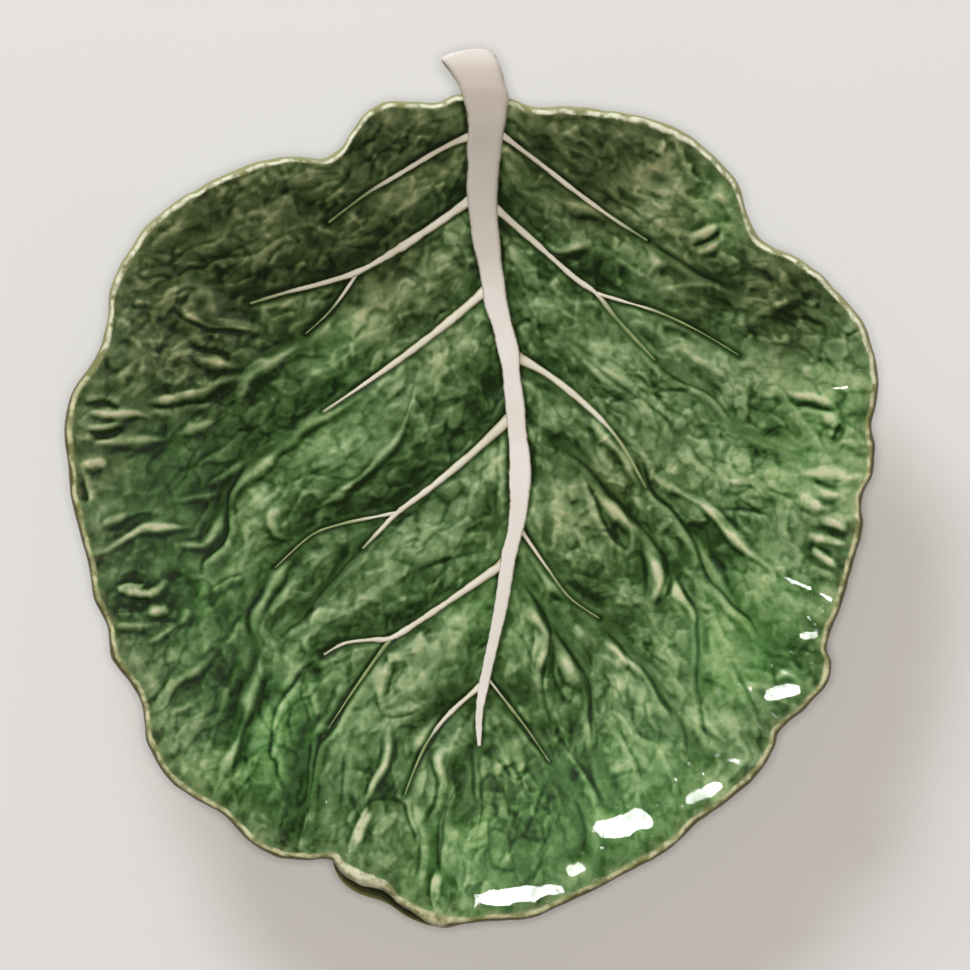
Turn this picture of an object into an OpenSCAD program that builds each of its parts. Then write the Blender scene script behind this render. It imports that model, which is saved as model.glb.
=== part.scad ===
// Leaf shaped plate: a pressed leaf blade on a foot ring, with a stalk and side veins laid on it.
// Millimetres. The plate stands on z = 0, +Y points along the stalk, +X to the right seen from above.

/* [Leaf] */
// Width across the lobes
leaf_w = 278; // [240:1:320]
// Length from the tip of the leaf to the end of the stalk
leaf_l = 300; // [270:1:340]
// Height of the highest lobe of the rim above the table
rim_h = 43; // [36:1:54]
// Thickness of the clay in the floor
wall = 5.5; // [4:0.25:8]
// Thickness of the lip
lip = 4; // [3:0.25:6]

/* [Relief] */
// Rise of the quilted panels between the veins
panel_rise = 1.4; // [0.6:0.1:2]
// Distance over which a panel swells from its vein
panel_reach = 9; // [6:0.5:14]
// Half width of the flat bed that a vein lies in
vein_bed = 3; // [2:0.25:5]
// Depth of the puckers drawn into the wall below the lip
pucker_depth = 1.8; // [0.5:0.1:3]

/* [Foot] */
// Outer diameter of the foot ring
foot_d = 138; // [110:1:160]
// Height of the foot ring
foot_h = 6; // [4:0.5:10]
// Width of the foot ring
foot_w = 7; // [5:0.5:12]
// Rounding of the foot's lower edges
foot_round = 1.5; // [0.5:0.25:2.5]
// Flat floor that runs on past the foot
foot_margin = 4; // [2:0.5:10]

/* [Stalk and veins] */
// Width of the stalk where it crosses the lip
stalk_w = 15.5; // [11:0.5:20]
// Thickness of the stalk at the handle tab
stalk_h = 6; // [4:0.25:9]
// Width of the widest side vein at its root
vein_w = 2.7; // [2:0.1:4]
// Height of the widest side vein at its root
vein_h = 1.4; // [1:0.1:2.5]
// Film of slip between the blade and what is laid on it
slip_gap = 0.3; // [0.2:0.05:0.5]

/* [Hidden] */
// Rim of the leaf, clockwise from the right of the stalk: pixel x and y on the reference picture,
// then the height as a share of rim_h and the pucker as a share of pucker_depth
rim_px_and_shares = [
    [512, 99, 0.88, 0], [534, 107, 0.88, 0.2], [572, 107.5, 0.90, -0.2], [612, 112, 0.93, 0.2],
    [652, 121, 0.95, -0.2], [688, 136, 0.97, 0.3], [716, 157, 0.98, -0.4], [738, 182, 0.96, 0.8],
    [747, 211, 0.92, -0.9], [757, 234, 0.90, 1], [773, 246.5, 0.91, -0.9], [795, 255.5, 0.94, 0.7],
    [825, 278, 0.98, -0.6], [852, 307, 1, 0.5], [869, 335, 1, -0.6], [877.5, 370, 0.98, 0.4],
    [877, 400, 0.95, 0.9], [872.5, 425, 0.92, -1], [875.5, 447, 0.94, 0.3], [873, 474, 0.95, 0.9],
    [863.5, 498, 0.92, -1], [862.5, 530, 0.94, 1], [853, 566, 0.92, -0.9], [846, 593, 0.91, 1],
    [834, 625, 0.90, -0.8], [826.5, 647, 0.88, 0.9], [831, 664, 0.90, -0.9], [825, 686, 0.92, 0.9],
    [804, 711, 0.92, -0.7], [781, 730, 0.89, 0.8], [774, 747, 0.88, -0.8], [761, 770.5, 0.90, 0.6],
    [731, 799.5, 0.91, -0.5], [700, 822, 0.91, 0.6], [664, 851, 0.90, -0.6], [633, 868.5, 0.89, 0.5],
    [606, 883.5, 0.89, -0.6], [570, 902, 0.91, 0.6], [528, 917, 0.93, -0.4], [480, 922.5, 0.94, 0.4],
    [438, 926, 0.95, 0.8], [410, 917.5, 0.93, -0.5], [386, 902, 0.90, 0.9], [358, 892, 0.92, -0.9],
    [341, 879, 0.91, 0.9], [330, 861.5, 0.87, -0.9], [306, 860, 0.90, 0.8], [278, 857, 0.93, -0.6],
    [248, 840, 0.94, 0.5], [220, 813, 0.92, 0.8], [193, 797, 0.90, -0.8], [165, 776, 0.93, -0.5],
    [147, 741, 0.93, -0.7], [142, 707, 0.88, 1], [131, 685, 0.90, -1], [112, 659, 0.94, 0.6],
    [106, 628, 0.91, -0.9], [93, 597, 0.94, 1], [88, 566, 0.93, -1], [79, 532, 0.95, 1],
    [71.5, 498, 0.96, -0.8], [66.5, 450, 0.98, 0.9], [65, 421, 0.97, -0.9], [73, 391, 0.94, 0.8],
    [97, 357, 0.92, -0.5], [106.5, 322, 0.93, 0.3], [110, 290, 0.95, -0.5], [129, 252, 0.97, 0.6],
    [150, 223, 0.97, -0.4], [195, 189.5, 0.98, 0.4], [245, 166, 0.97, -0.3], [288, 155.5, 0.95, 0.2],
    [320, 158, 0.91, -0.2], [340, 148, 0.89, 0.2], [360, 119, 0.91, -0.2], [382, 102.5, 0.93, 0.2],
    [412, 101, 0.92, -0.2], [438, 101.5, 0.89, 0.2], [457, 94, 0.88, 0], [484, 93, 0.88, 0]
];
// Middle of the dish, as shares of leaf_w from the left and of leaf_l from the tip
dish_shares = [0.5044, 0.4863];
// Stalk from its end down to its tip: pixel y, left edge x, right edge x, then the height share
stalk_px_and_shares = [
    [49.5, 470, 485, 0.5], [51, 461, 491, 0.68], [54, 448, 495.5, 0.84], [58, 440.5, 498, 0.94],
    [62, 440.5, 500, 1], [68, 445.5, 502, 1], [76, 451.5, 504.5, 1], [84, 456, 506.5, 1],
    [92, 460, 509, 1], [97, 462, 509.5, 0.98], [102, 463.5, 509.5, 0.96], [108, 465, 508.5, 0.93],
    [115, 466, 508, 0.9], [130, 466.5, 506, 0.84], [146, 466, 503, 0.8], [165, 466, 501.5, 0.76],
    [185, 465.5, 499, 0.72], [205, 467, 498.5, 0.68], [230, 470, 500, 0.64], [255, 475, 502, 0.61],
    [280, 480, 506, 0.58], [305, 484, 509, 0.55], [330, 493, 514.5, 0.52], [355, 499, 520, 0.5],
    [380, 502.5, 522, 0.48], [405, 505.5, 525, 0.46], [430, 507.5, 527, 0.44], [455, 509, 531, 0.43],
    [480, 508.5, 532, 0.42], [505, 509.5, 529, 0.41], [530, 507, 524.5, 0.4], [555, 501.5, 517, 0.38],
    [580, 498, 513, 0.36], [610, 493.5, 507.5, 0.34], [640, 488, 500, 0.32], [670, 482, 492.5, 0.3],
    [690, 478, 488, 0.28], [715, 475, 483.5, 0.26], [735, 475.5, 482.5, 0.23], [748, 477, 481.5, 0.18]
];
// Row of that table, counted from 0, where the stalk crosses the lip and is stalk_w wide
lip_row = 10;
// Side veins: name, width as a share of vein_w, the row that it forks from (-1 is the stalk) and the
// point of that row, then pixel points; on the stalk the first point gives only the height of the root
side_veins_px_and_shares = [
    ["left_vein_1", 0.75, -1, 0, [[466, 137], [440, 149], [400, 173], [365, 194], [328, 222]]],
    ["left_vein_2", 1, -1, 0, [[466, 201], [430, 227], [390, 253], [357, 271], [320, 283], [285, 292],
        [249, 303]]],
    ["left_vein_3", 1, -1, 0, [[480, 294], [450, 320], [410, 351], [370, 379.5], [322, 412]]],
    ["left_vein_4", 0.95, -1, 0, [[506, 421], [470, 455], [430, 488], [398, 512], [380, 530], [362, 549]]],
    ["left_vein_5", 0.85, -1, 0, [[499, 567], [460, 594], [420, 621], [391, 638.5], [370, 640.5],
        [344, 644], [323, 655.5]]],
    ["left_vein_6", 0.55, -1, 0, [[475, 691], [455, 709], [436, 730], [420, 757], [404, 797]]],
    ["left_vein_2_fork", 0.35, 1, 3, [[340, 297], [325, 315], [305, 333]]],
    ["left_vein_4_fork", 0.35, 3, 3, [[375, 517], [340, 524.5], [310, 536], [274, 568]]],
    ["left_vein_5_fork", 0.4, 4, 3, [[377, 657], [349, 697], [322, 738]]],
    ["right_vein_1", 0.7, -1, 0, [[506, 137], [540, 163], [580, 194], [615, 219], [648, 240]]],
    ["right_vein_2", 0.8, -1, 0, [[501, 212], [540, 246], [575, 277], [597, 293], [618, 319], [656, 360]]],
    ["right_vein_3", 0.95, -1, 0, [[521, 359], [550, 375.5], [590, 408], [620, 441], [647, 488]]],
    ["right_vein_4", 0.4, -1, 0, [[524, 533], [548, 569], [570, 598], [600, 619]]],
    ["right_vein_5", 0.4, -1, 0, [[490, 681], [508, 705], [528, 731], [550, 763]]],
    ["right_vein_2_fork", 0.35, 10, 3, [[625, 301], [660, 312], [700, 331], [740, 355]]]
];
// Creases between the panels that hold no vein of their own
crease_px = [
    [[322, 412], [285, 446], [245, 466], [226, 498], [215, 545]],
    [[362, 549], [335, 580], [280, 630]],
    [[648, 240], [690, 270], [738, 288]],
    [[656, 360], [695, 385], [732, 425], [800, 455]],
    [[647, 488], [675, 520], [705, 560], [735, 610], [790, 660]],
    [[560, 440], [600, 485], [640, 530], [665, 575], [695, 620], [697, 700]],
    [[600, 619], [640, 660], [665, 700], [700, 760]],
    [[515, 575], [550, 620], [585, 680], [592, 740], [610, 800]],
    [[550, 763], [575, 800], [585, 850]],
    [[474, 750], [470, 800], [440, 830], [437, 880]],
    [[322, 738], [306, 800], [300, 840]],
    [[274, 568], [250, 620], [255, 660], [235, 740]]
];
// Share of its root width that is left at a vein's tip
vein_tip_share = 0.35;
// Share of a vein's or the stalk's height that stands straight at its sides
side_share = 0.3;
// Places across the arch of a rounded section, as shares of its half width
vein_arch_shares = [1, 0.6, 0, -0.6, -1];
stalk_arch_shares = [1, 0.86, 0.5, 0, -0.5, -0.86, -1];
// Power of the curve that the wall rises by from the floor to the lip
wall_power = 1.55;
// Start, full height and end of the puckers, as shares of the way up the wall
pucker_shares = [0.3, 0.7, 1];
// Way up the wall at which the panels begin to flatten towards the lip
panel_end_share = 0.8;
// Places round the lip: 1 is its inner edge, 0 its outermost point and -1 its lower edge
lip_shares = [0.5, 0, -0.5];
// Rings over the floor, the wall and the underside, then steps along the rim, a vein and the foot's rounding
floor_rings = 10;
wall_rings = 14;
under_rings = 6;
rim_steps = 2;
vein_steps = 3;
foot_round_steps = 6;

// Sizes that follow from the ones above
floor_r = foot_d / 2 + foot_margin;
floor_z = foot_h + wall;

function ramp(t) = let (u = min(max(t, 0), 1)) u * u * (3 - 2 * u);
function mix(a, b, t) = a + (b - a) * t;
function unit(v) = v / norm(v);
function across(v) = [-v.y, v.x];
function turn(angle) = [cos(angle), sin(angle)];

// Smooth curve through points a, b, c and d, between b and c
function curve(a, b, c, d, t) =
    b + (c - a) * t / 2 + (2 * a - 5 * b + 4 * c - d) * t * t / 2 + (3 * b - a - 3 * c + d) * t * t * t / 2;
function closed_curve(pts, steps) = let (n = len(pts))
    [for (i = [0 : n - 1], k = [0 : steps - 1])
        curve(pts[(i + n - 1) % n], pts[i], pts[(i + 1) % n], pts[(i + 2) % n], k / steps)];
function open_curve(pts, steps) = let (n = len(pts) - 1)
    concat([for (i = [0 : n - 1], k = [0 : steps - 1])
        curve(pts[max(i - 1, 0)], pts[i], pts[i + 1], pts[min(i + 2, n)], k / steps)], [pts[n]]);

// From the picture to the plate: the rim spans leaf_w, and the tip and the stalk's end span leaf_l
rim_px = closed_curve(rim_px_and_shares, rim_steps);
rim_px_x = [for (p = rim_px) p.x];
rim_px_y = [for (p = rim_px) p.y];
left_px = min(rim_px_x);
right_px = max(rim_px_x);
top_px = stalk_px_and_shares[0][0];
bottom_px = max(rim_px_y);
scale_x = leaf_w / (right_px - left_px);
scale_y = leaf_l / (bottom_px - top_px);
function place(p) = [(p.x - (left_px + right_px) / 2) * scale_x, ((top_px + bottom_px) / 2 - p.y) * scale_y];
middle_shares = [0.5, 0.5];
dish = [(dish_shares.x - middle_shares.x) * leaf_w, (dish_shares.y - middle_shares.y) * leaf_l];

// Spokes of the dish, one to each point of the rim: angle, radius, height and pucker
spokes = [for (p = rim_px) let (v = place(p) - dish)
    [atan2(v.y, v.x), norm(v), p[2] * rim_h, p[3] * pucker_depth]];
spoke_count = len(spokes);

// Where a spoke's upper face meets the rounded lip: radius, height and slope
function rim_slope(spoke) = atan(wall_power * (spoke[2] - floor_z) / (spoke[1] - floor_r));
function lip_start(spoke) = let (slope = rim_slope(spoke))
    [spoke[1] - lip / 2 * (1 + sin(slope)), spoke[2] - lip / 2 * (1 - cos(slope)), slope];

// Spoke at any angle, between its two neighbours
function gap_angle(a, b) = (a - b + 720) % 360;
function spoke_at(angle) =
    let (i = [for (k = [0 : spoke_count - 1])
            let (here = spokes[k][0], next = spokes[(k + 1) % spoke_count][0])
            if (gap_angle(here, angle) < gap_angle(here, next)) k][0],
        a = spokes[i],
        b = spokes[(i + 1) % spoke_count],
        t = gap_angle(a[0], angle) / gap_angle(a[0], b[0]))
    mix(a, b, t);

// Lines that the panels are drawn down to: the stalk, the veins and the open creases
lip_row_px = stalk_px_and_shares[lip_row][2] - stalk_px_and_shares[lip_row][1];
stalk_rows = [for (row = stalk_px_and_shares) let (half = (row[2] - row[1]) / 2 * stalk_w / lip_row_px,
        mid = place([(row[1] + row[2]) / 2, row[0]])) [mid.x - half, mid.x + half, mid.y, row[3] * stalk_h]];
stalk_line = [for (row = stalk_rows) [(row[0] + row[1]) / 2, row[2]]];
vein_lines = [for (vein = side_veins_px_and_shares) [for (p = vein[4]) place(p)]];
panel_lines = concat([stalk_line], vein_lines, [for (line = crease_px) [for (p = line) place(p)]]);

function line_distance(p, line) = min([for (i = [0 : len(line) - 2])
    let (a = line[i], ab = line[i + 1] - a, t = min(max((p - a) * ab / (ab * ab), 0), 1))
    norm(p - a - ab * t)]);
function panel_distance(p) = min([for (line = panel_lines) line_distance(p, line)]);

// Relief of the upper face at a point that lies some share of the way up the wall; the vein beds stay plain
function relief(p, way, pucker) =
    let (swell = max(panel_distance(p) - vein_bed, 0) / panel_reach,
        open_panel = 1 - exp(-swell * swell),
        panel_fall = 1 - ramp((way - panel_end_share) / (1 - panel_end_share)),
        pucker_rise = ramp((way - pucker_shares[0]) / (pucker_shares[1] - pucker_shares[0])),
        pucker_fall = 1 - ramp((way - pucker_shares[1]) / (pucker_shares[2] - pucker_shares[1])))
    open_panel * (panel_rise * panel_fall + pucker * pucker_rise * pucker_fall);
function wall_z(way, top) = floor_z + (top - floor_z) * pow(way, wall_power);

// Height of the blade's upper face under any point; past the lip it stays at the lip's height
function upper_z(p) =
    let (v = p - dish, spoke = spoke_at(atan2(v.y, v.x)), start = lip_start(spoke),
        way = max((norm(v) - floor_r) / (start[0] - floor_r), 0))
    way >= 1 ? spoke[2] : wall_z(way, start[1]) + relief(p, way, spoke[3]);

// Rings of the blade, from the middle of the floor over the lip and back under it
function spoke_point(spoke, r, z) = let (xy = dish + r * turn(spoke[0])) [xy.x, xy.y, z];
function floor_ring(share) = [for (spoke = spokes)
    let (p = spoke_point(spoke, floor_r * share, floor_z))
    p + [0, 0, relief([p.x, p.y], 0, 0)]];
function wall_ring(way) = [for (spoke = spokes)
    let (start = lip_start(spoke),
        p = spoke_point(spoke, mix(floor_r, start[0], way), wall_z(way, start[1])))
    p + [0, 0, relief([p.x, p.y], way, spoke[3])]];
function lip_ring(side) = [for (spoke = spokes)
    let (start = lip_start(spoke), slope = start[2], mid = [start[0], start[1]] + lip / 2 * turn(slope - 90),
        angle = side > 0 ? side * (slope + 90) : -side * (slope - 90), p = mid + lip / 2 * turn(angle))
    spoke_point(spoke, p.x, p.y)];
function under_ring(way) = [for (spoke = spokes)
    let (start = lip_start(spoke), r = mix(floor_r, start[0], way),
        slope = atan(tan(start[2]) * pow(way, wall_power - 1)),
        p = [r, wall_z(way, start[1])] + mix(wall, lip, way) * turn(slope - 90))
    spoke_point(spoke, p.x, p.y)];

// Triangles between rings of n points; each ring lies outside the one before it
function ring_faces(first, n, rings) = [for (k = [0 : rings - 2], j = [0 : n - 1])
    let (a = first + k * n, b = a + n, m = (j + 1) % n) each [[a + j, b + j, b + m], [a + j, b + m, a + m]]];

module leaf_blade() {
    rings = concat(
        [for (k = [1 : floor_rings]) floor_ring(k / floor_rings)],
        [for (k = [1 : wall_rings]) wall_ring(k / wall_rings)],
        [for (side = lip_shares) lip_ring(side)],
        [for (k = [under_rings : -1 : 0]) under_ring(k / under_rings)]);
    middle = [dish.x, dish.y, floor_z + relief(dish, 0, 0)];
    points = concat([middle], [for (ring = rings) each ring]);
    last = 1 + (len(rings) - 1) * spoke_count;
    faces = concat(
        [for (j = [0 : spoke_count - 1]) [0, 1 + j, 1 + (j + 1) % spoke_count]],
        ring_faces(1, spoke_count, len(rings)),
        [[for (j = [spoke_count - 1 : -1 : 0]) last + j]]);
    color("#3f7d3f") polyhedron(points = points, faces = faces, convexity = 6);
}

// Solid through a row of sections with equal numbers of points
module loft(sections) {
    n = len(sections[0]);
    points = [for (section = sections) each section];
    last = (len(sections) - 1) * n;
    faces = concat(
        [[for (j = [0 : n - 1]) j]],
        ring_faces(0, n, len(sections)),
        [[for (j = [n - 1 : -1 : 0]) last + j]]);
    polyhedron(points = points, faces = faces, convexity = 6);
}

// Rounded section laid on the blade: mid point, half width as a vector across, height, places of the arch
function laid_section(mid, half, h, arch_shares) =
    let (left = mid - half,
        right = mid + half,
        left_z = upper_z(left) + slip_gap,
        right_z = upper_z(right) + slip_gap,
        arch = [for (u = arch_shares) let (p = mid + u * half)
            [p.x, p.y, mix(left_z, right_z, (1 + u) / 2)
                + h * (side_share + (1 - side_share) * sqrt(1 - u * u))]])
    concat([[left.x, left.y, left_z], [right.x, right.y, right_z]], arch);

module foot_ring() {
    outer = foot_d / 2;
    inner = outer - foot_w;
    corner = [for (k = [0 : foot_round_steps])
        foot_round * (turn(270 + 90 * k / foot_round_steps) + [-1, 1])];
    profile = concat(
        [[inner, foot_h]],
        [for (k = [foot_round_steps : -1 : 0]) [inner - corner[k].x, corner[k].y]],
        [for (p = corner) [outer + p.x, p.y]],
        [[outer, foot_h]]);
    color("#b9a98f") translate([dish.x, dish.y, 0]) rotate_extrude($fn = 180) polygon(profile);
}

module stalk() {
    color("#efe6dd") loft([for (row = stalk_rows)
        let (mid = [(row[0] + row[1]) / 2, row[2]], half = [(row[1] - row[0]) / 2, 0])
        laid_section(mid, half, row[3], stalk_arch_shares)]);
}

// Edge of the stalk on one side (-1 left, 1 right) at a height y, by its two neighbouring rows
function stalk_edge(y, side) =
    let (i = [for (k = [0 : len(stalk_rows) - 2])
            if (y <= stalk_rows[k][2] && y >= stalk_rows[k + 1][2]) k][0],
        a = stalk_rows[i], b = stalk_rows[i + 1], row = mix(a, b, (y - a[2]) / (b[2] - a[2])))
    [side < 0 ? row[0] : row[1], y];

// Width of a vein at a share of the way to its tip
function vein_width(vein, way) = vein[1] * vein_w * mix(1, vein_tip_share, way);

// Root of a vein: its mid point, then the direction along what carries it
function stalk_root(row) =
    let (first = vein_lines[row][0], side = sign(vein_lines[row][1].x - first.x),
        a = stalk_edge(first.y + vein_w, side), b = stalk_edge(first.y - vein_w, side))
    [stalk_edge(first.y, side) + [side * slip_gap, 0], unit(a - b)];
function fork_root(row) =
    let (vein = side_veins_px_and_shares[row], parent = side_veins_px_and_shares[vein[2]],
        line = vein_lines[vein[2]], at = vein[3],
        along = unit(line[at + 1] - line[at - 1]), out = unit(vein_lines[row][0] - line[at]),
        clear = vein_width(parent, at / (len(line) - 1)) / 2 + slip_gap)
    [line[at] + out * clear / abs(out * across(along)), along];

module side_vein(row) {
    vein = side_veins_px_and_shares[row];
    forks = vein[2] >= 0;
    root = forks ? fork_root(row) : stalk_root(row);
    line = vein_lines[row];
    route = open_curve(concat([root[0]], forks ? line : [for (i = [1 : len(line) - 1]) line[i]]), vein_steps);
    last = len(route) - 1;
    sections = [for (i = [0 : last])
        let (out = across(unit(route[min(i + 1, last)] - route[max(i - 1, 0)])),
            width = vein_width(vein, i / last),
            skew = root[1] / (root[1] * out),
            half = (i == 0 ? skew : out) * width / 2)
        laid_section(route[i], half, vein_h * width / vein_w, vein_arch_shares)];
    color("#efe6dd") loft(sections);
}

leaf_blade();
foot_ring();
stalk();
for (row = [0 : len(side_veins_px_and_shares) - 1])
    side_vein(row);
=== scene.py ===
"""Leaf shaped plate of glazed earthenware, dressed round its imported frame.

Outlines and height fields are worked out in millimetres, and the meshes are in metres like the frame.
Pixel coordinates are read on a picture of 970 by 970 pixels, taken from straight above.
"""
import math

import bpy
import numpy as np
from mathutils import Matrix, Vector


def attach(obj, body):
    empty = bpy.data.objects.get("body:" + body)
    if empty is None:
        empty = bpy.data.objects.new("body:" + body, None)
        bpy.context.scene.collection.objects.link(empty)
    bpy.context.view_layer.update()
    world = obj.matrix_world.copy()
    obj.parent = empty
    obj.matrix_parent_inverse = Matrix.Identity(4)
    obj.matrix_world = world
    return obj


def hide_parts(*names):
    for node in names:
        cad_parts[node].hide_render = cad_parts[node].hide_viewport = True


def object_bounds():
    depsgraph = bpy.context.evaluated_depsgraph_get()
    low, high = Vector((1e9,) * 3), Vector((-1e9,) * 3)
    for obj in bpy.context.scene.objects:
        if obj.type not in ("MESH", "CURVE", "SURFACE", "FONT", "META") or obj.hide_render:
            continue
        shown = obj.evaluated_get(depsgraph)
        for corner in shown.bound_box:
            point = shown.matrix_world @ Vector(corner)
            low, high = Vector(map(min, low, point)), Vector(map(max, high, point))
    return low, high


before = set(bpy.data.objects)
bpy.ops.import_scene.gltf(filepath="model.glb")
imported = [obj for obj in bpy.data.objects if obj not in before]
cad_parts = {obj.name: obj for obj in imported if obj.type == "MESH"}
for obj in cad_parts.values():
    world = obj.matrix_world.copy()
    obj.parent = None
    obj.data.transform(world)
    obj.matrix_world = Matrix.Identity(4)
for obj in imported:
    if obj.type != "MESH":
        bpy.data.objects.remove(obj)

CAD_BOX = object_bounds()
MM = 0.001

# Sizes of the plate in millimetres, as in the frame
RIM_H = 43.0
WALL = 5.5
LIP = 4.0
FOOT_D = 138.0
FOOT_H = 6.0
FLOOR_R = FOOT_D / 2 + 4.0
FLOOR_Z = FOOT_H + WALL
WALL_POWER = 1.55
STALK_W = 15.5
STALK_W_PX = 46
STALK_H = 6.0
VEIN_W = 2.7
VEIN_H = 1.4
VEIN_FLARE = 1.15
VEIN_ROOT = 1.8
PANEL_RISE = 1.8
PANEL_REACH = 9.0

# Powers that round off the sections of the stalk and of the side veins
STALK_SQUARENESS = 14
VEIN_SQUARENESS = 2

# The scene's own relief, in millimetres, and its tones, in depths of glaze, some of which are painted shade
# and painted light
RIDGE_H = 0.75
RIDGE_HALF = 1.45
LOBE_H = 0.6
LOBE_TONE = 1.1
LOBE_LINE = 0.9
# Strength of painted shade and light on small slopes, by the way they face the window
LEE_SHADE = 1.3
RIM_TONE = 0.35
PLEAT_H = 0.22
# Strength of painted shade and light on whole panels, by the way they face the window
PANEL_SHADE = 3.5
CREASE_H = -0.42
CREASE_HALF = 0.5
BANK_FAR = 1.9
BANK_H = 0.34
BANK_HALF = 1.2
VEIN_BED = 0.35
PANEL_BED = 0.12
THIN_FROM = -1.6
THIN_SHARE = 0.55

# Azimuth of the window, in degrees anticlockwise from +X, and the way to it
WINDOW_AZIMUTH = 114.0
WINDOW_WAY = (math.cos(math.radians(WINDOW_AZIMUTH)), math.sin(math.radians(WINDOW_AZIMUTH)))

# Rim of the leaf, clockwise from the right of the stalk: pixel x and y, then the height as a share of RIM_H
RIM_PX = [
    (512, 99, 0.88), (534, 107, 0.88), (572, 107.5, 0.90), (612, 112, 0.93), (652, 121, 0.95),
    (688, 136, 0.97), (716, 157, 0.98), (738, 182, 0.96), (747, 211, 0.92), (757, 234, 0.90),
    (773, 246.5, 0.91), (795, 255.5, 0.94), (825, 278, 0.98), (852, 307, 1), (869, 335, 1),
    (877.5, 370, 0.98), (877, 400, 0.95), (872.5, 425, 0.92), (875.5, 447, 0.94), (873, 474, 0.95),
    (863.5, 498, 0.92), (862.5, 530, 0.94), (853, 566, 0.92), (846, 593, 0.91), (834, 625, 0.90),
    (826.5, 647, 0.88), (831, 664, 0.90), (825, 686, 0.92), (804, 711, 0.92), (781, 730, 0.89),
    (774, 747, 0.88), (761, 770.5, 0.90), (731, 799.5, 0.91), (700, 822, 0.91), (664, 851, 0.90),
    (633, 868.5, 0.89), (606, 883.5, 0.89), (570, 902, 0.91), (528, 917, 0.93), (480, 922.5, 0.94),
    (438, 926, 0.95), (410, 917.5, 0.93), (386, 902, 0.90), (358, 892, 0.92), (341, 879, 0.91),
    (330, 861.5, 0.87), (306, 860, 0.90), (278, 857, 0.93), (248, 840, 0.94), (220, 813, 0.92),
    (193, 797, 0.90), (165, 776, 0.93), (147, 741, 0.93), (142, 707, 0.88), (131, 685, 0.90),
    (112, 659, 0.94), (106, 628, 0.91), (93, 597, 0.94), (88, 566, 0.93), (79, 532, 0.95),
    (71.5, 498, 0.96), (66.5, 450, 0.98), (65, 421, 0.97), (73, 391, 0.94), (97, 357, 0.92),
    (106.5, 322, 0.93), (110, 290, 0.95), (129, 252, 0.97), (150, 223, 0.97), (195, 189.5, 0.98),
    (245, 166, 0.97), (288, 155.5, 0.95), (320, 158, 0.91), (340, 148, 0.89), (360, 119, 0.91),
    (382, 102.5, 0.93), (412, 101, 0.92), (438, 101.5, 0.89), (457, 94, 0.88), (484, 93, 0.88),
]
DISH_PX = (475, 500)

# Places where the lip folds inwards and shows the outside of the wall:
# pixel x and y on the rim, then pixels inwards
FOLD_PX = [
    (306, 860, 0), (326, 861, 1), (336, 868, 6), (341, 879, 10), (350, 888, 13), (366, 897, 15),
    (380, 900, 13), (394, 908, 6), (412, 918, 8), (430, 925, 8), (444, 925, 5), (456, 924, 2),
    (470, 922, 0),
]

# Where the folded lip is bare of glaze: its middle, and half its length in millimetres
BARE_LIP_PX = (360, 880)
BARE_LIP = 10.0

# Stalk from its end down to its tip: pixel y, left edge x, right edge x,
# then the height as a share of STALK_H
STALK_PX = [
    (49.5, 470, 485, 0.5), (51, 461, 491, 0.68), (54, 448, 495.5, 0.84), (58, 440.5, 498, 0.94),
    (62, 440.5, 500, 1), (68, 445.5, 502, 1), (76, 451.5, 504.5, 1), (84, 456, 506.5, 1), (92, 460, 509, 1),
    (97, 462, 509.5, 0.98), (102, 463.5, 509.5, 0.96), (108, 465, 508.5, 0.93), (115, 466, 508, 0.9),
    (130, 466.5, 506, 0.84), (146, 466, 503, 0.8), (165, 466, 501.5, 0.76), (185, 465.5, 499, 0.72),
    (205, 467, 498.5, 0.68), (230, 470, 500, 0.64), (255, 475, 502, 0.61), (280, 480, 506, 0.58),
    (305, 484, 509, 0.55), (330, 493, 514.5, 0.52), (355, 499, 520, 0.5), (380, 502.5, 522, 0.48),
    (405, 505.5, 525, 0.46), (430, 507.5, 527, 0.44), (455, 509, 531, 0.43), (480, 508.5, 532, 0.42),
    (505, 509.5, 529, 0.41), (530, 507, 524.5, 0.4), (555, 501.5, 517, 0.38), (580, 498, 513, 0.36),
    (610, 493.5, 507.5, 0.36), (640, 488, 500, 0.36), (670, 482, 492.5, 0.36), (690, 478, 488, 0.34),
    (715, 475, 483.5, 0.32), (735, 475.5, 482.5, 0.28), (748, 477, 481.5, 0.2),
]

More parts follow.
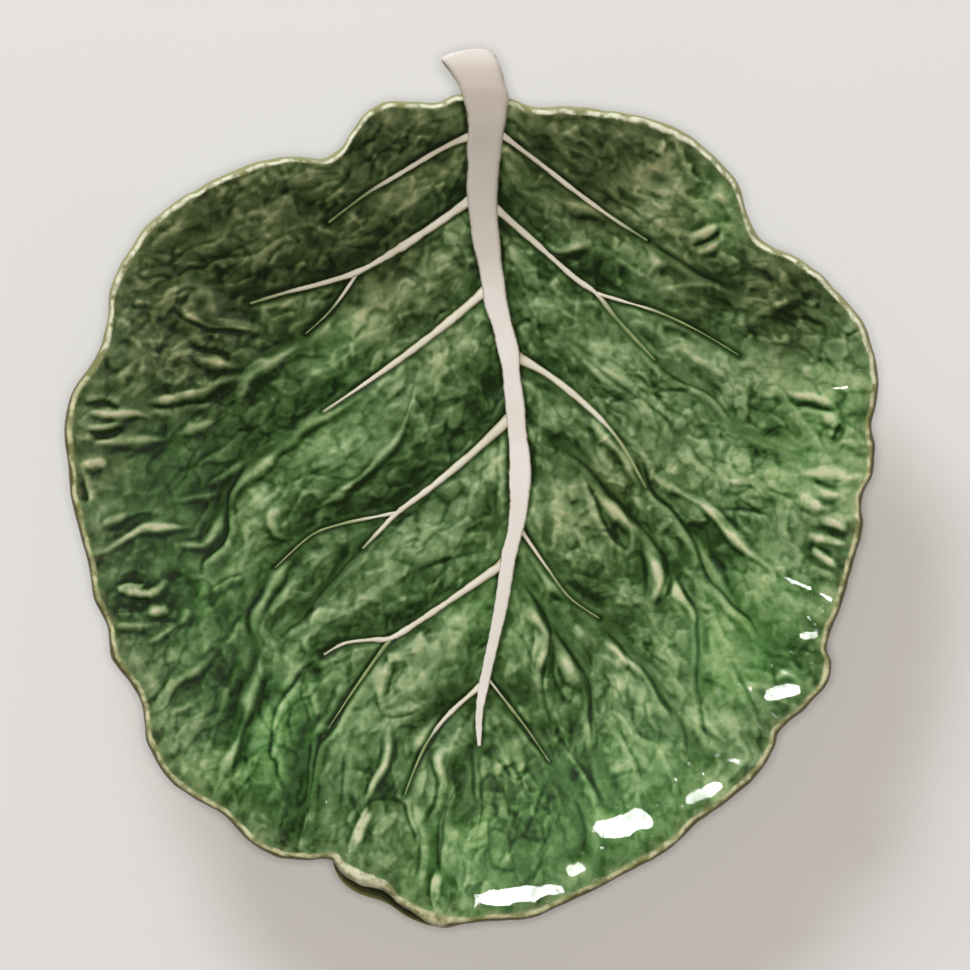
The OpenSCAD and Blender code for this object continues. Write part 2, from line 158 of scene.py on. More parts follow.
# Side veins: name, root width as a share of VEIN_W,
# share of the way along at which cream turns to green, pixel points
VEINS_PX = [
    ("left_vein_1", 0.75, 0.75, [(468, 136), (440, 149), (400, 173), (365, 194), (328, 222)]),
    ("left_vein_2", 1, 0.9, [(470, 199), (430, 227), (390, 253), (357, 271), (320, 283), (285, 292),
           (249, 303)]),
    ("left_vein_3", 1, 1, [(484, 291), (450, 320), (410, 351), (370, 379.5), (322, 412)]),
    ("left_vein_4", 0.95, 0.95, [(509, 419), (470, 455), (430, 488), (398, 512), (380, 530), (362, 549)]),
    ("left_vein_5", 0.85, 1, [(502, 565), (460, 594), (420, 621), (391, 638.5), (370, 640.5), (344, 644),
           (323, 655.5)]),
    ("left_vein_6", 0.55, 0.62, [(478, 689), (455, 709), (436, 730), (420, 757), (404, 797)]),
    ("left_vein_2_fork", 0.35, 0.5, [(357, 272), (340, 297), (325, 315), (305, 333)]),
    ("left_vein_4_fork", 0.4, 0.45, [(398, 512.5), (375, 517), (340, 524.5), (310, 536), (274, 568)]),
    ("left_vein_5_fork", 0.4, 0, [(391, 639), (377, 657), (349, 697), (322, 738)]),
    ("right_vein_1", 0.7, 0.85, [(503, 135), (540, 163), (580, 194), (615, 219), (648, 240)]),
    ("right_vein_2", 0.8, 0.75, [(497, 208), (540, 246), (575, 277), (597, 293), (618, 319), (656, 360)]),
    ("right_vein_3", 0.95, 0.75, [(518, 357), (550, 375.5), (590, 408), (620, 441), (647, 488)]),
    ("right_vein_4", 0.4, 0.45, [(521, 530), (548, 569), (570, 598), (600, 619)]),
    ("right_vein_5", 0.4, 0.35, [(487, 678), (508, 705), (528, 731), (550, 763)]),
    ("right_vein_2_fork", 0.35, 0.5, [(598, 293), (625, 301), (660, 312), (700, 331), (740, 355)]),
]

# Creases between the panels that hold no vein
PANEL_CREASES_PX = [
    [(322, 412), (285, 446), (245, 466), (226, 498), (215, 545)],
    [(362, 549), (335, 580), (280, 630)],
    [(648, 240), (690, 270), (738, 288)],
    [(656, 360), (695, 385), (732, 425), (800, 455)],
    [(647, 488), (675, 520), (705, 560), (735, 610), (790, 660)],
    [(560, 440), (600, 485), (640, 530), (665, 575), (695, 620), (697, 700)],
    [(600, 619), (640, 660), (665, 700), (700, 760)],
    [(515, 575), (550, 620), (585, 680), (592, 740), (610, 800)],
    [(550, 763), (575, 800), (585, 850)],
    [(474, 750), (470, 800), (440, 830), (437, 880)],
    [(322, 738), (306, 800), (300, 840)],
    [(274, 568), (250, 620), (255, 660), (235, 740)],
]

# Pale ridges: strength, then pixel points
RIDGES_PX = [
    (0.8, [(315, 222), (286, 232)]), (1.0, [(370, 392), (310, 427), (270, 456), (240, 484), (230, 498)]),
    (0.7, [(336, 562), (322, 584)]),
    (1.7, [(654, 476), (690, 498), (710, 513), (730, 535), (750, 551), (769, 569), (777, 582)]),
    (1.0, [(638, 348), (650, 362), (660, 372), (660, 383)]),
    (1.0, [(600, 495), (625, 520), (636, 534), (634, 550)]),
    (0.5, [(586, 356), (618, 376), (650, 398), (686, 430)]), (1.2, [(690, 238), (717, 225)]),
    (1.2, [(698, 256), (722, 237)]), (0.6, [(755, 316), (781, 303), (804, 298)]),
    (0.8, [(832, 313), (842, 305)]), (1.0, [(795, 397), (838, 403)]), (0.8, [(822, 419), (842, 416)]),
    (1.0, [(801, 475), (831, 473), (858, 479)]), (1.0, [(817, 492), (845, 496)]),
    (1.0, [(797, 496), (826, 509)]), (1.0, [(822, 517), (851, 532)]),
    (1.0, [(808, 532), (824, 539), (842, 544), (852, 539)]), (1.0, [(811, 546), (838, 569)]),
    (1.0, [(820, 571), (843, 582)]), (1.1, [(670, 578), (692, 614), (699, 626)]),
    (1.1, [(646, 550), (660, 580), (652, 606)]), (1.0, [(604, 640), (630, 660), (646, 682)]),
    (1.1, [(556, 653), (577, 679), (585, 696)]), (0.8, [(588, 720), (588, 752)]),
    (1.0, [(702, 704), (710, 724), (732, 748)]), (0.8, [(776, 682), (788, 674), (802, 680)]),
    (0.8, [(724, 782), (735, 770), (748, 757)]), (0.7, [(640, 690), (648, 716), (660, 734)]),
    (0.7, [(544, 770), (556, 790), (562, 816)]), (1.0, [(396, 652), (380, 680), (378, 698), (384, 714)]),
    (1.0, [(389, 722), (387, 747), (379, 778), (369, 804)]), (1.0, [(440, 717), (425, 737), (412, 758)]),
    (0.9, [(438, 750), (443, 778)]), (1.0, [(374, 812), (363, 830), (352, 852)]),
    (0.8, [(438, 874), (440, 900)]), (0.9, [(523, 602), (539, 628), (549, 643), (539, 674)]),
    (0.8, [(516, 704), (531, 727)]), (1.0, [(254, 622), (260, 606), (268, 588), (280, 572), (294, 560)]),
    (1.3, [(212, 796), (228, 763), (239, 735), (249, 699), (262, 655)]),
    (0.8, [(310, 658), (290, 678), (279, 694)]), (0.8, [(325, 722), (318, 740)]),
    (1.2, [(146, 712), (162, 706), (170, 692), (184, 678), (216, 654)]), (0.8, [(202, 756), (218, 724)]),
    (0.8, [(168, 756), (178, 740)]), (1.6, [(118, 588), (150, 594), (170, 580)]),
    (1.2, [(114, 626), (154, 626)]), (1.2, [(144, 616), (170, 611)]), (1.2, [(148, 644), (176, 626)]),
    (0.8, [(182, 626), (190, 610)]), (1.2, [(182, 315), (203, 323), (238, 328), (254, 329)]),
    (1.1, [(188, 354), (213, 361), (236, 366)]), (0.8, [(188, 341), (198, 337), (208, 343)]),
    (1.1, [(146, 400), (182, 397), (223, 380), (240, 377)]), (0.9, [(176, 432), (200, 424), (216, 420)]),
    (1.5, [(85, 414), (120, 413), (150, 418)]), (1.4, [(86, 430), (112, 424), (130, 418)]),
    (1.3, [(90, 441), (130, 441), (170, 437)]), (1.3, [(80, 466), (98, 464), (106, 472)]),
    (1.2, [(100, 528), (130, 513)]), (1.8, [(98, 553), (120, 540), (141, 531), (165, 528), (192, 525)]),
    (1.1, [(175, 546), (203, 544), (218, 528), (223, 506)]), (1.0, [(174, 501), (216, 493)]),
    (0.9, [(205, 485), (225, 474), (243, 463)]), (0.9, [(234, 408), (244, 390), (252, 375), (305, 343)]),
    (1.3, [(413, 388), (406, 415), (397, 436), (379, 459), (353, 483), (324, 506), (299, 514)]),
    (1.1, [(583, 412), (600, 428), (614, 445), (630, 466), (642, 488)]),
    (0.8, [(528, 552), (548, 580), (566, 602)]), (0.75, [(290, 504), (270, 518), (273, 532), (286, 540)]),
    (0.7, [(234, 206), (239, 216), (247, 219)]), (0.7, [(254, 216), (259, 229)]),
    (0.7, [(264, 168), (279, 178), (292, 175)]), (0.6, [(341, 165), (343, 183)]),
    (0.9, [(544, 185), (554, 196), (567, 203), (592, 211), (608, 219)]),
    (0.8, [(545, 246), (570, 250), (590, 243)]), (0.4, [(503, 440), (503, 480), (502, 520)]),
]

# Dark creases: strength, then pixel points
CREASES_PX = [
    (1.0, [(360, 551), (340, 572), (320, 594), (300, 620), (278, 638)]),
    (0.8, [(336, 583), (318, 606), (296, 626)]),
    (1.0, [(384, 642), (374, 662), (360, 682), (348, 698), (336, 720), (320, 742), (312, 770), (305, 826),
           (301, 842)]),
    (1.0, [(323, 655), (305, 669), (290, 687), (277, 709), (271, 730), (269, 755), (277, 765), (282, 793)]),
    (1.0, [(650, 244), (672, 257), (699, 274), (725, 282), (740, 289)]),
    (1.0, [(656, 362), (675, 375), (697, 387), (717, 400), (735, 424)]),
    (1.3, [(630, 440), (646, 466), (654, 490), (670, 506), (686, 528), (699, 549), (710, 577), (725, 597),
           (748, 615), (771, 650)]),
    (1.0, [(560, 448), (580, 460), (596, 476), (616, 500), (638, 522), (656, 546), (666, 564), (660, 590),
           (658, 620)]),
    (1.2, [(586, 478), (598, 502), (604, 524), (618, 543), (634, 554)]),
    (0.8, [(694, 446), (702, 462), (720, 478)]), (0.7, [(768, 488), (796, 500)]),
    (0.9, [(722, 510), (750, 513), (768, 518)]), (1.0, [(834, 435), (843, 421)]),
    (1.0, [(813, 482), (842, 487)]), (1.2, [(795, 406), (838, 409)]),
    (1.2, [(671, 571), (689, 597), (699, 622), (699, 653), (698, 679), (702, 717), (710, 742)]),
    (1.0, [(600, 625), (623, 645), (643, 671), (664, 699), (676, 724)]),
    (1.2, [(554, 630), (574, 658), (590, 684), (590, 719), (588, 748)]), (0.7, [(633, 730), (656, 745)]),
    (0.6, [(500, 548), (460, 556), (416, 568)]),
    (0.7, [(727, 647), (747, 687), (757, 710), (761, 734), (763, 757)]),
    (0.6, [(773, 657), (777, 683), (784, 694)]), (0.7, [(700, 723), (717, 743), (730, 750)]),
    (0.6, [(737, 727), (750, 747), (753, 768)]), (0.7, [(771, 648), (800, 647), (820, 657)]),
    (0.5, [(720, 606), (727, 643)]), (0.6, [(660, 750), (676, 772), (684, 798)]),
    (0.6, [(610, 780), (634, 770), (660, 776)]), (0.6, [(560, 790), (552, 826), (540, 860)]),
    (0.5, [(520, 800), (512, 838), (498, 872)]), (0.8, [(480, 752), (479, 774), (481, 804), (474, 838)]),
    (0.8, [(455, 779), (442, 817), (439, 861), (442, 880)]),
    (0.8, [(508, 747), (524, 785), (540, 817), (546, 842)]), (0.6, [(505, 810), (527, 826), (543, 848)]),
    (0.8, [(410, 801), (420, 848), (416, 880)]), (0.7, [(309, 741), (303, 804)]),
    (0.7, [(344, 753), (341, 810)]), (0.8, [(556, 728), (575, 760), (594, 785), (606, 806)]),
    (0.7, [(619, 728), (635, 760), (646, 786)]), (0.6, [(505, 760), (512, 774), (534, 770)]),
    (0.6, [(664, 700), (684, 726), (690, 752)]), (0.6, [(574, 800), (586, 830), (580, 852)]),
    (0.6, [(456, 840), (466, 868), (460, 896)]),
    (1.0, [(374, 688), (380, 712), (388, 718), (402, 717), (422, 712)]),
    (1.0, [(381, 730), (378, 760), (366, 801)]), (1.0, [(430, 758), (438, 778), (435, 798), (427, 821)]),
    (1.0, [(474, 752), (472, 780), (476, 810)]), (1.0, [(458, 788), (448, 806), (444, 839), (440, 870)]),
    (1.0, [(364, 811), (379, 801), (399, 803), (407, 816), (417, 847)]),
    (1.2, [(518, 576), (534, 602), (551, 633), (549, 653), (544, 668), (544, 694), (551, 722)]),
    (0.8, [(508, 626), (524, 642), (536, 678)]), (0.8, [(490, 740), (506, 770), (518, 780), (530, 768)]),
    (0.9, [(495, 702), (518, 725), (539, 747), (551, 765)]), (1.0, [(248, 636), (250, 610), (262, 584)]),
    (0.8, [(244, 571), (226, 579), (208, 589)]),
    (1.3, [(245, 463), (228, 493), (228, 515), (222, 543), (203, 559), (200, 577)]),
    (1.4, [(85, 406), (104, 404), (122, 408)]), (1.4, [(88, 433), (104, 434), (124, 430)]),
    (1.6, [(78, 474), (82, 488), (86, 504)]), (1.6, [(116, 584), (130, 580), (146, 582)]),
    (1.3, [(112, 612), (146, 612)]), (1.1, [(148, 621), (178, 622)]),
    (1.1, [(144, 706), (156, 694), (168, 676)]), (0.9, [(142, 249), (162, 231), (180, 221)]),
    (0.8, [(141, 250), (180, 254), (193, 259), (223, 257), (254, 252), (285, 234), (320, 224)]),
    (1.2, [(172, 310), (196, 326), (222, 333)]), (1.1, [(190, 347), (214, 351), (232, 360)]),
    (1.1, [(150, 406), (182, 404), (214, 398)]), (0.8, [(526, 316), (544, 331), (560, 346)]),
    (0.8, [(587, 360), (620, 384), (659, 411), (680, 434)]), (1.2, [(544, 255), (564, 258), (588, 252)]),
    (1.0, [(778, 311), (790, 305)]), (1.2, [(845, 336), (860, 331)]), (1.2, [(694, 247), (720, 231)]),
    (0.6, [(412, 382), (402, 423)]), (0.5, [(497, 436), (497, 480), (495, 532)]),
]

# Raised lobes, and hollows where the strength is below zero:
# half the width in pixels, strength, pixel points along the middle
LOBES_PX = [
    (8, 1.0, [(600, 492), (614, 512), (626, 532), (634, 552)]),
    (8, 1.0, [(645, 542), (653, 558), (655, 580), (650, 605)]),
    (8, 1.0, [(669, 580), (678, 598), (688, 612), (698, 626)]),
    (8, 0.9, [(538, 628), (541, 648), (538, 668), (537, 680)]),
    (9, 1.0, [(555, 654), (564, 672), (572, 690), (577, 706)]),
    (9, 0.9, [(605, 646), (616, 656), (626, 672)]), (6, 0.8, [(522, 602), (532, 618), (543, 634)]),
    (6, 0.9, [(648, 692), (654, 706), (655, 722)]), (8, 0.6, [(655, 503), (656, 513)]),
    (9, 0.6, [(661, 519), (668, 529)]), (7, 0.7, [(679, 533), (683, 543)]),
    (6, 0.8, [(560, 608), (568, 618)]),
    (5, 1.5, [(656, 478), (690, 498), (718, 518), (745, 544), (772, 572)]),
    (5, 0.7, [(545, 556), (560, 563), (578, 572)]), (7, 0.5, [(600, 428), (620, 448), (640, 478)]),
    (8, 0.9, [(298, 628), (316, 618), (333, 606)]), (8, 0.8, [(394, 648), (396, 664)]),
    (22, 0.4, [(398, 706), (410, 690), (424, 672)]), (6, 0.8, [(332, 558), (322, 574), (314, 590)]),
    (7, 0.7, [(314, 668), (309, 690), (314, 714), (318, 738)]),
    (6, 0.9, [(148, 402), (182, 398), (216, 389)]),
    (5, 1.1, [(202, 315), (225, 321), (250, 328), (268, 329)]),
    (6, 1.0, [(184, 352), (212, 357), (238, 366)]), (4, 1.3, [(689, 239), (704, 231), (721, 225)]),
    (4, 1.3, [(698, 257), (712, 250), (725, 236)]), (4, 0.9, [(775, 388), (800, 397), (838, 402)]),
    (4, 0.8, [(824, 431), (838, 425), (843, 415)]), (5, 0.9, [(798, 476), (830, 470), (856, 478)]),
    (4, 1.1, [(815, 489), (830, 494), (848, 496)]), (4, 1.0, [(795, 495), (812, 503), (828, 509)]),
    (5, 0.9, [(820, 516), (840, 527), (854, 533)]), (5, 1.0, [(806, 531), (825, 540), (848, 545)]),
    (5, 1.0, [(809, 545), (825, 560), (840, 571)]), (5, 0.9, [(318, 576), (336, 560)]),
    (4, 0.8, [(300, 460), (298, 492)]), (8, 1.1, [(377, 806), (362, 830), (350, 860)]),
    (7, 1.1, [(314, 804), (308, 830), (305, 860)]), (5, 0.9, [(380, 766), (373, 800)]),
    (6, 0.9, [(438, 746), (444, 782)]), (7, 1.1, [(441, 866), (439, 890), (438, 918)]),
    (4, 0.8, [(261, 656), (262, 684)]), (4, 0.9, [(387, 720), (388, 746), (384, 764)]),
    (14, 0.5, [(284, 510), (280, 524), (292, 534)]),
    (5, 1.4, [(100, 554), (120, 542), (141, 533), (165, 529), (188, 526)]),
    (5, 1.4, [(116, 588), (146, 594), (172, 580)]), (5, 0.8, [(174, 546), (204, 541), (219, 520)]),
    (4, 0.9, [(100, 528), (114, 518), (132, 513)]), (4, 1.0, [(80, 466), (99, 463), (108, 475)]),
    (4, 0.9, [(98, 419), (130, 414), (150, 418)]), (4, 1.0, [(86, 431), (102, 427), (130, 423)]),
    (6, 0.7, [(430, 262), (446, 250)]), (8, 0.5, [(420, 250), (400, 268)]),
    (7, 0.5, [(446, 292), (462, 278)]), (5, -1.3, [(84, 408), (104, 405), (126, 410)]),
    (5, -1.3, [(87, 435), (106, 434), (128, 429)]),
    (6, -1.2, [(100, 540), (122, 529), (142, 520), (165, 517)]),
    (5, -1.1, [(116, 582), (132, 577), (152, 581)]), (4.5, -1.3, [(78, 476), (82, 492), (85, 506)]),
    (4, -0.9, [(145, 707), (157, 694), (169, 677)]),
    (4, -1.0, [(197, 318), (215, 328), (240, 334), (272, 335)]),
    (3.5, -0.8, [(188, 346), (214, 349), (240, 358)]), (4, -1.1, [(693, 248), (708, 243), (723, 231)]),
    (3.5, -0.8, [(689, 232), (704, 224), (717, 220)]), (4, -1.1, [(790, 402), (812, 407), (840, 406)]),
    (4.5, -1.2, [(826, 436), (838, 434), (845, 421)]), (4.5, -1.3, [(810, 481), (828, 486), (846, 488)]),
    (4.5, -1.2, [(812, 524), (834, 531), (852, 535)]), (4.5, -1.2, [(800, 539), (818, 550), (838, 556)]),
    (6, -1.0, [(546, 255), (566, 258), (590, 252)]), (3, -0.7, [(612, 512), (620, 526), (627, 540)]),
    (3, -0.4, [(588, 690), (592, 720), (592, 752)]), (5, -0.7, [(498, 380), (497, 396), (502, 412)]),
    (8, -0.6, [(484, 372), (490, 392), (496, 412)]),
]

# Round regions of the upper face: pixel x and y, radius in pixels, then strength
CRUMPLED_PX = [
    (250, 200, 80, 1), (190, 250, 60, 1), (330, 190, 60, 0.9), (160, 320, 45, 0.6), (290, 330, 50, 0.6),
    (400, 150, 50, 0.9), (560, 150, 50, 0.8), (640, 170, 60, 1), (700, 210, 50, 1), (715, 262, 45, 0.9),
    (620, 262, 50, 0.7), (800, 305, 45, 0.8), (420, 300, 60, 0.5), (370, 340, 50, 0.5), (610, 470, 55, 0.6),
    (210, 360, 50, 0.7), (330, 500, 50, 0.4), (430, 420, 45, 0.4), (440, 230, 40, 0.4), (550, 270, 45, 0.5),
]
CALM_PX = [
    (700, 800, 60, 1), (640, 835, 55, 1), (765, 730, 50, 0.9), (560, 885, 55, 1), (480, 895, 60, 1),
    (800, 650, 45, 0.8), (750, 640, 60, 0.8), (830, 450, 40, 0.5), (160, 480, 50, 0.9), (140, 530, 40, 0.5),
    (250, 790, 50, 0.6), (330, 820, 40, 0.5), (400, 880, 50, 0.7), (860, 360, 40, 0.7), (300, 460, 40, 0.4),
    (600, 815, 40, 1), (740, 770, 40, 0.8), (730, 690, 40, 0.7),
]
NETTED_PX = [
    (640, 450, 110, 1), (750, 400, 100, 1), (720, 560, 100, 0.9), (610, 760, 100, 0.7), (470, 820, 90, 0.8),
    (700, 680, 80, 0.6),
]
PLEATED_PX = [
    (100, 440, 70, 0.6), (110, 580, 60, 0.8), (150, 700, 50, 0.6), (190, 770, 40, 0.4), (845, 520, 60, 0.9),
    (850, 420, 40, 0.5), (800, 690, 40, 0.5), (110, 330, 50, 0.5), (350, 870, 40, 0.5), (740, 780, 30, 0.4),
]
# Brownish-green glaze, which also stands in as painted shade on the upper walls that face away from the
# window
OLIVE_AND_SHADE_PX = [
    (230, 220, 130, 1), (330, 190, 90, 0.8), (160, 330, 80, 0.7), (620, 150, 90, 0.9), (790, 300, 60, 0.9),
    (420, 300, 80, 0.5), (700, 275, 50, 0.7), (420, 140, 60, 0.8), (600, 480, 60, 0.4), (80, 450, 50, 0.6),
    (560, 140, 60, 0.8),
]
# Spots of darker glaze, paler where the strength is below zero: partly glaze that gathers, partly painted
# shade and painted light that set the tone of each region
POOL_AND_SHADE_SPOTS_PX = [
    (488, 395, 28, 1), (470, 370, 30, 0.6), (600, 255, 30, 0.7), (570, 262, 25, 0.6), (640, 270, 40, 0.5),
    (330, 250, 60, 0.5), (270, 240, 60, 0.5), (425, 150, 30, 0.4), (215, 500, 30, 0.6), (150, 470, 50, 0.3),
    (270, 575, 30, 0.4), (560, 470, 30, 0.3), (620, 560, 25, 0.5), (545, 690, 25, 0.4), (440, 770, 20, 0.3),
    (320, 300, 40, 0.3), (350, 310, 30, 0.3), (200, 330, 30, 0.4), (260, 345, 40, 0.4), (760, 330, 40, 0.3),
    (850, 430, 15, 0.5), (800, 340, 30, 0.3), (455, 430, 26, 0.8), (420, 470, 26, 0.7), (385, 500, 24, 0.4),
    (600, 145, 50, 0.15), (650, 165, 30, 0.1), (770, 295, 45, 0.4), (720, 290, 35, 0.4),
    (820, 310, 35, 0.3), (555, 510, 32, 0.5), (540, 470, 20, 0.3), (465, 640, 22, 0.5), (405, 690, 28, 0.4),
    (440, 580, 25, 0.3), (200, 590, 50, 0.4), (200, 650, 40, 0.3), (250, 730, 40, 0.3), (330, 500, 24, 0.3),
    (300, 590, 30, 0.3), (390, 440, 90, 0.5), (280, 740, 80, 0.4), (230, 430, 60, 0.3),
    (450, 330, 25, -0.4), (475, 345, 20, -0.5), (440, 365, 18, -0.6), (405, 395, 18, -0.5),
    (430, 520, 35, -0.4), (720, 640, 50, -0.5), (690, 790, 40, -0.4), (620, 760, 40, -0.3),
    (800, 400, 40, -0.4), (840, 450, 40, -0.4), (740, 480, 40, -0.3), (150, 440, 60, 0.3),
    (710, 225, 35, -0.6), (685, 235, 30, -0.4), (725, 195, 20, -0.5), (160, 230, 30, -0.3),
    (230, 180, 30, -0.2), (700, 540, 45, -0.5), (765, 590, 40, -0.5), (150, 520, 60, 0.3),
    (130, 610, 50, 0.25), (830, 510, 50, -0.6), (845, 390, 40, -0.5), (555, 290, 25, -0.4),
    (620, 330, 25, -0.3), (560, 340, 25, -0.3), (370, 330, 25, -0.3), (790, 440, 90, -0.6),
    (610, 430, 80, -0.35), (680, 680, 90, -0.35), (640, 230, 60, -0.2), (640, 185, 60, -0.2),
    (105, 490, 45, -0.3), (400, 380, 60, 0.15),
]
VIVID_PX = [
    (750, 640, 80, 1), (620, 800, 90, 0.9), (480, 860, 80, 0.8), (280, 740, 80, 1), (210, 610, 60, 0.8),
    (330, 430, 60, 0.4), (340, 330, 40, 0.7), (800, 450, 60, 0.6), (480, 610, 60, 0.6), (150, 480, 60, 0.5),
    (710, 225, 45, 0.9), (840, 400, 50, 0.5),
]

# Smooth facets that mirror a window pane: pixel x and y, half the length and width in pixels,
# then the turn in degrees
FACETS_PX = [
    (518, 895, 48, 11, 8), (576, 869, 12, 8, 30), (629, 824, 32, 13, 14), (707, 792, 24, 8, 24),
    (783, 692, 20, 8, 8), (751, 690, 4, 4, 0), (811, 636, 11, 5, 10),
    (797, 583, 20, 4, -24), (827, 597, 12, 4, -26), (838, 388, 13, 3, 6),
]


def smooth_curve(points, steps, closed=False):
    """A curve through the points, with so many steps between each two."""
    p = np.asarray(points, float)
    if closed:
        before, here, after, later = np.roll(p, 1, 0), p, np.roll(p, -1, 0), np.roll(p, -2, 0)
    else:
        ends = np.vstack([p[:1], p, p[-1:]])
        before, here, after, later = ends[:-3], ends[1:-2], ends[2:-1], ends[3:]
    before, here, after, later = (x[:, None, :] for x in (before, here, after, later))
    t = (np.arange(steps) / steps)[None, :, None]
    made = here + (after - before) * t / 2
    made = made + (2 * before - 5 * here + 4 * after - later) * t ** 2 / 2
    made = made + (3 * here - before - 3 * after + later) * t ** 3 / 2
    made = made.reshape(-1, p.shape[1])
    return made if closed else np.vstack([made, p[-1:]])


def ramp(t):
    """A smooth step from 0 to 1."""
    u = np.clip(t, 0, 1)
    return u * u * (3 - 2 * u)


def bell(t):
    """A bell curve: 1 at zero, and next to nothing from 2 on."""
    return np.exp(-t ** 2)


# From the picture to the plate
RIM_CURVE = smooth_curve(RIM_PX, 16, closed=True)
LEFT_PX, RIGHT_PX = RIM_CURVE[:, 0].min(), RIM_CURVE[:, 0].max()
TOP_PX, BOTTOM_PX = STALK_PX[0][0], RIM_CURVE[:, 1].max()
SCALE_X = (CAD_BOX[1].x - CAD_BOX[0].x) / MM / (RIGHT_PX - LEFT_PX)
SCALE_Y = (CAD_BOX[1].y - CAD_BOX[0].y) / MM / (BOTTOM_PX - TOP_PX)


def place(points):
    """Pixel points as plate coordinates in millimetres."""
    p = np.asarray(points, float)
    x = (p[..., 0] - (LEFT_PX + RIGHT_PX) / 2) * SCALE_X
    y = ((TOP_PX + BOTTOM_PX) / 2 - p[..., 1]) * SCALE_Y
    return np.stack([x, y], -1)


DISH = place(DISH_PX)


def rim_spokes():
    """Angle, radius and height of the rim round the dish, in order of angle."""
    away = place(RIM_CURVE[:, :2]) - DISH
    angle = np.arctan2(away[:, 1], away[:, 0])
    order = np.argsort(angle)
    return angle[order], np.hypot(*away.T)[order], (RIM_CURVE[:, 2] * RIM_H)[order]


SPOKE_ANGLE, SPOKE_RADIUS, SPOKE_HEIGHT = rim_spokes()


def spoke(values, angle):
    """What is known round the rim, at any angle."""
    return np.interp(angle, SPOKE_ANGLE, values, period=2 * math.pi)


def fold_inset(angle):
    """How far the lip is folded inwards at an angle, in millimetres."""
    away = place([row[:2] for row in FOLD_PX]) - DISH
    depth = [row[2] * SCALE_X for row in FOLD_PX]
    return np.interp(angle, np.arctan2(away[:, 1], away[:, 0]), depth)


SPOKE_SLOPE = np.arctan(WALL_POWER * (SPOKE_HEIGHT - FLOOR_Z) / (SPOKE_RADIUS - FLOOR_R))
SPOKE_INSET = fold_inset(SPOKE_ANGLE)
LIP_START_R = SPOKE_RADIUS - SPOKE_INSET - LIP / 2 * (1 + np.sin(SPOKE_SLOPE))
LIP_START_Z = SPOKE_HEIGHT - LIP / 2 * (1 - np.cos(SPOKE_SLOPE))


def polar(x, y):
    """Angle and distance from the middle of the dish."""
    return np.arctan2(y - DISH[1], x - DISH[0]), np.hypot(x - DISH[0], y - DISH[1])


def way_up(x, y):
    """Share of the way up the wall, below zero on the floor."""
    angle, radius = polar(x, y)
    return (radius - FLOOR_R) / (spoke(LIP_START_R, angle) - FLOOR_R)


def dish_height(x, y):
    """Height of the plain dish, without relief."""
    top = spoke(LIP_START_Z, polar(x, y)[0])
    return FLOOR_Z + (top - FLOOR_Z) * np.clip(way_up(x, y), 0, 1.05) ** WALL_POWER


# Height fields, on a grid over the whole leaf
CELL = 0.25
GRID_X = -140 + CELL * np.arange(1120)
GRID_Y = -151 + CELL * np.arange(1152)
X, Y = np.meshgrid(GRID_X, GRID_Y)
RANDOM = np.random.default_rng(7)


def blur(field, radius):
    """The field with a Gaussian blur, in millimetres."""
    fy = np.fft.fftfreq(field.shape[0], CELL)[:, None]
    fx = np.fft.rfftfreq(field.shape[1], CELL)[None, :]
    keep = np.exp(-2 * (math.pi * radius) ** 2 * (fx ** 2 + fy ** 2))
    return np.fft.irfft2(np.fft.rfft2(field) * keep, field.shape)


def noise(size):
    """Smooth seeded noise with a spread of one."""
    made = blur(RANDOM.standard_normal(X.shape), size)
    return made / made.std()


def blend(field, i, j, s, t):
    """The field between the four corners of a cell."""
    low = field[j, i] * (1 - s) + field[j, i + 1] * s
    high = field[j + 1, i] * (1 - s) + field[j + 1, i + 1] * s
    return low * (1 - t) + high * t


def sample(field, x, y):
    """The field at any points, between its grid's four neighbours."""
    u = np.clip((x - GRID_X[0]) / CELL, 0, field.shape[1] - 1.001)
    v = np.clip((y - GRID_Y[0]) / CELL, 0, field.shape[0] - 1.001)
    i, j = u.astype(int), v.astype(int)
    return blend(field, i, j, u - i, v - j)


def window(low, high):
    """The part of the grid between two corners."""
    i0, i1 = np.searchsorted(GRID_X, [low[0], high[0]])
    j0, j1 = np.searchsorted(GRID_Y, [low[1], high[1]])
    return slice(max(j0, 0), j1), slice(max(i0, 0), i1)


def near(line, reach, wobble=None):
    """The window round a line, with the distance to it, the share of the way along it and the side of it."""
    gx, gy = wobble or (X, Y)
    frame_of = window(line.min(0) - reach, line.max(0) + reach)
    shape = X[frame_of].shape
    distance, along, side = np.full(shape, 1e3), np.zeros(shape), np.ones(shape)
    steps = np.linalg.norm(np.diff(line, axis=0), axis=1)
    start = np.concatenate([[0], np.cumsum(steps)])
    for k, (a, b) in enumerate(zip(line[:-1], line[1:])):
        box = window(np.minimum(a, b) - reach, np.maximum(a, b) + reach)
        part = tuple(slice(max(s.start - w.start, 0), s.stop - w.start) for s, w in zip(box, frame_of))
        px, py = gx[frame_of][part] - a[0], gy[frame_of][part] - a[1]
        ab = b - a
        t = np.clip((px * ab[0] + py * ab[1]) / max(ab @ ab, 1e-9), 0, 1)
        found = np.hypot(px - t * ab[0], py - t * ab[1])
        closer = found < distance[part]
        distance[part] = np.where(closer, found, distance[part])
        along[part] = np.where(closer, (start[k] + t * steps[k]) / start[-1], along[part])
        side[part] = np.where(closer, np.sign(ab[0] * py - ab[1] * px), side[part])
    return frame_of, distance, along, side


def tapered(along, share=0.2):
    """Fades a line in and out at its two ends."""
    return ramp(along / share + 0.15) * ramp((1 - along) / share + 0.15)


